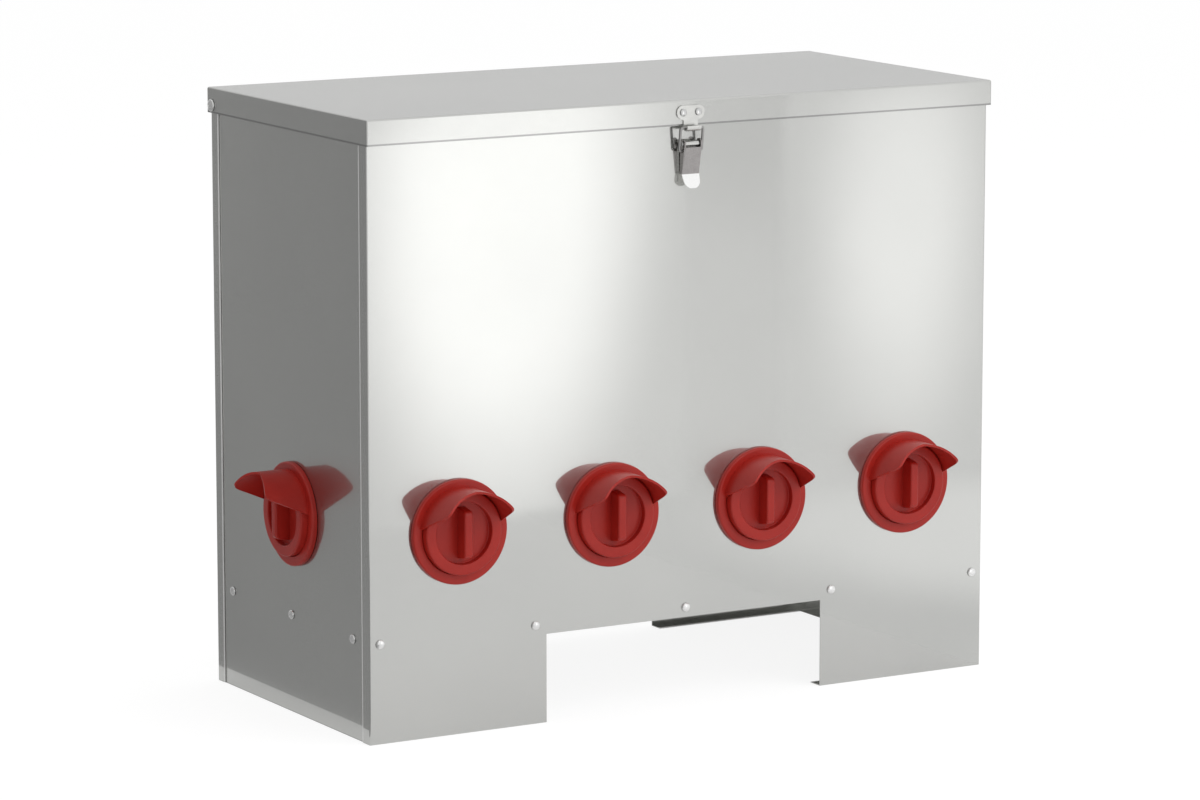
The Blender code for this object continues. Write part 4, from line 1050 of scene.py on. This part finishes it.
leg = math.hypot(BAIL_RISE, BAIL_LEAN)
inner = BAIL_HALF - BAIL_BEND
half = [(BAIL_FOOT, 0.0)] + arc((inner, BAIL_BEND), BAIL_BEND, -math.pi / 2, 0.0)
half += arc((inner, leg - BAIL_BEND), BAIL_BEND, 0.0, math.pi / 2)
route = half + [(-x, along) for x, along in reversed(half)]
pivot = Vector(joints["bail_swing"]["pos_m"])
bm = bmesh.new()
wire_points = [
    bm.verts.new(pivot + Vector((x, -BAIL_LEAN * along / leg, BAIL_RISE * along / leg)))
    for x, along in route
]
for pair in zip(wire_points, wire_points[1:]):
    bm.edges.new(pair)

tree, start, end = new_tree("wire_along_a_path", BAIL)
path = wire(tree, tree.nodes.new("GeometryNodeMeshToCurve"), Mesh=start.outputs["Geometry"])
section = tree.nodes.new("GeometryNodeCurvePrimitiveCircle")
wire(tree, section, Resolution=start.outputs["Sides"], Radius=start.outputs["Wire Radius"])
swept = wire(tree, tree.nodes.new("GeometryNodeCurveToMesh"), Curve=path.outputs[0])
tree.links.new(section.outputs[0], swept.inputs["Profile Curve"])
swept.inputs["Fill Caps"].default_value = True
close_tree(tree, swept.outputs[0], (start, end))
bail_mesh = baked_mesh(grown("bail", bm, tree, BAIL, spring_wire))
finished("latch_wire", bail_mesh, HERE, "latch_bail", spring_wire, ["latch_bail"])
print("bail wire faces", len(bail_mesh.polygons))

# %% [markdown]
# ## The floor
# The floor is plain and pale. It keeps the object's soft shadow, and it also glows a little, once
# for the camera and once for reflections, so that the picture and the metal both show it pale
# without any more light on the object.

# %% Lay the floor
FLOOR_HALF = 15.0
FLOOR_WHITE = (0.82, 0.82, 0.82)
FLOOR_GLOW = 1.2


def seen_by(tree, *kinds):
    """1 for the named kinds of ray and 0 for the others, from the Light Path node."""
    path = add_node(tree, "ShaderNodeLightPath")
    total = path.outputs[kinds[0]]
    for kind in kinds[1:]:
        total = calc(tree, "MAXIMUM", total, path.outputs[kind])
    return total


def flat_piece(name, corner, along, up):
    """A flat stage piece from one corner and its two edges, with a UV map to fade it by."""
    bm = bmesh.new()
    corner, along, up = Vector(corner), Vector(along), Vector(up)
    layer = bm.loops.layers.uv.new("card")
    spots = [corner, corner + along, corner + along + up, corner + up]
    face = bm.faces.new([bm.verts.new(spot) for spot in spots])
    for loop, uv in zip(face.loops, ((0, 0), (1, 0), (1, 1), (0, 1))):
        loop[layer].uv = uv
    obj = object_from(name, bm)
    return obj


FLOOR_FOR_CAMERA = 0.72
FLOOR_FOR_GLOSS = 0.45
side = 2 * FLOOR_HALF
floor = flat_piece("floor", (-FLOOR_HALF, -FLOOR_HALF, 0), (side, 0, 0), (0, side, 0))
floor_finish, tree, shader = new_finish("floor_white", FLOOR_WHITE, 0.0, 0.9, specular=0.0)
glow = add_node(tree, "ShaderNodeEmission")
glow.inputs["Strength"].default_value = FLOOR_GLOW
for_camera = calc(tree, "MULTIPLY", seen_by(tree, "Is Camera Ray"), FLOOR_FOR_CAMERA)
gloss_rays = seen_by(tree, "Is Glossy Ray", "Is Transmission Ray")
share = calc(tree, "MAXIMUM", for_camera, calc(tree, "MULTIPLY", gloss_rays, FLOOR_FOR_GLOSS))
mix = add_node(tree, "ShaderNodeMixShader")
wire(tree, mix, i0=share, i1=shader.outputs[0], i2=glow.outputs[0])
tree.links.new(mix.outputs[0], tree.nodes["Material Output"].inputs["Surface"])
floor.data.materials.append(floor_finish)
print("floor laid", side, "metres wide")

# %% [markdown]
# ## Cards round the feeder
# Sheet metal is a mirror, so what stands round it matters more than the lamps. A grey card on the
# left makes the left wall dark, and a low one by the floor does the same for its foot. A pale low
# card at the right brightens the foot of the front wall, a grey card behind shades the lid, and
# two soft bright panels make the two glows in the front wall. Only reflected rays see the cards,
# and each one fades towards its edge, as a soft box does.

# %% Set up the cards
HALF_CARD = 0.5


def card(name, corner, along, up, middle, edge, core=0.12):
    """A card that only reflections see, from a corner and two edges. It has one strength out to
    its core, which is a share of its width, and fades from there to another at its edge."""
    obj = flat_piece(name, corner, along, up)
    for kind in ("camera", "diffuse", "shadow", "transmission", "volume_scatter"):
        setattr(obj, "visible_" + kind, False)
    finish, tree, _ = new_finish(name + "_light", (1, 1, 1), 0.0, 1.0, 0.0)
    emission = add_node(tree, "ShaderNodeEmission")
    uv = add_node(tree, "ShaderNodeUVMap", uv_map="card")
    centred = add_node(tree, "ShaderNodeVectorMath", operation="DISTANCE")
    centred.inputs[1].default_value = (HALF_CARD, HALF_CARD, 0.0)
    tree.links.new(uv.outputs[0], centred.inputs[0])
    fade = add_node(tree, "ShaderNodeMapRange", interpolation_type="SMOOTHSTEP")
    fade.inputs["From Min"].default_value = core
    fade.inputs["From Max"].default_value = HALF_CARD
    fade.inputs["To Min"].default_value = middle
    fade.inputs["To Max"].default_value = edge
    tree.links.new(centred.outputs["Value"], fade.inputs["Value"])
    tree.links.new(fade.outputs["Result"], emission.inputs["Strength"])
    tree.links.new(emission.outputs[0], tree.nodes["Material Output"].inputs["Surface"])
    obj.data.materials.append(finish)
    print(name, "strength", middle, "to", edge)


card("left_card", (-0.95, -0.85, -1.1), (0, 3.2, 0), (0, 0, 3.2), 0.33, 0.42)
card("left_low_card", (-0.95, -0.85, 0.002), (0.62, 0, 0), (0, 3.2, 0), 0.35, 0.35)
card("right_low_card", (0.30, -1.05, 0.002), (0.80, 0, 0), (0, 0.95, 0), 1.20, 0.90, 0.2)
card("back_card", (-1.5, 2.6, 0.05), (5.0, 0, 0), (0, 0, 2.4), 0.72, 0.80, 0.3)
card("main_glow", (0.050, -0.95, -0.11), (0.45, 0, 0), (0, 0, 0.92), 1.90, 1.00, 0.18)
card("second_glow", (0.62, -0.95, -0.05), (0.305, 0, 0), (0, 0, 0.65), 1.52, 1.00, 0.08)

# %% [markdown]
# ## The world and two lamps
# The world is white to the camera and in reflections. As light it is weaker and one-sided, from
# the front, right and above, as the photograph's shading is. Two large square lamps add a soft
# shadow. Reflections do not show them, or they would burn out the lid seen from behind.

# %% Light the studio
FILL_FROM = Vector((0.55, -0.6, 0.58)).normalized()
FILL_WEAK, FILL_STRONG = 0.15, 0.95

world = bpy.data.worlds.new("studio")
bpy.context.scene.world = world
world.use_nodes = True
tree = world.node_tree
white = tree.nodes["Background"]
white.inputs["Color"].default_value = (1, 1, 1, 1)
white.inputs["Strength"].default_value = 1.0
fill = add_node(tree, "ShaderNodeBackground")
place = add_node(tree, "ShaderNodeTexCoord")
lean = add_node(tree, "ShaderNodeVectorMath", operation="DOT_PRODUCT")
lean.inputs[1].default_value = FILL_FROM
tree.links.new(place.outputs["Generated"], lean.inputs[0])
strength = spread_to(tree, lean.outputs["Value"], FILL_WEAK, FILL_STRONG, -1.0, 1.0)
tree.links.new(strength, fill.inputs["Strength"])
mix = add_node(tree, "ShaderNodeMixShader")
direct = seen_by(tree, "Is Camera Ray", "Is Glossy Ray", "Is Transmission Ray")
wire(tree, mix, i0=direct, i1=fill.outputs[0], i2=white.outputs[0])
tree.links.new(mix.outputs[0], tree.nodes["World Output"].inputs["Surface"])


def soft_lamp(name, place, target, size, power):
    """A square lamp of a size in metres and a power in watts, turned to a target."""
    lamp = bpy.data.lights.new(name, "AREA")
    lamp.shape = "SQUARE"
    lamp.size = size
    lamp.energy = power
    obj = bpy.data.objects.new(name, lamp)
    obj.location = place
    aim = Vector(target) - Vector(place)
    obj.rotation_euler = aim.to_track_quat("-Z", "Y").to_euler()
    obj.visible_camera = False
    obj.visible_glossy = False
    bpy.context.scene.collection.objects.link(obj)


LAMP_TARGET = (0, 0, 0.25)
soft_lamp("key", (1.4, -2.2, 2.2), LAMP_TARGET, size=2.6, power=26.0)
soft_lamp("top", (0.0, 0.2, 2.6), LAMP_TARGET, size=1.6, power=12.0)
print("studio ready")
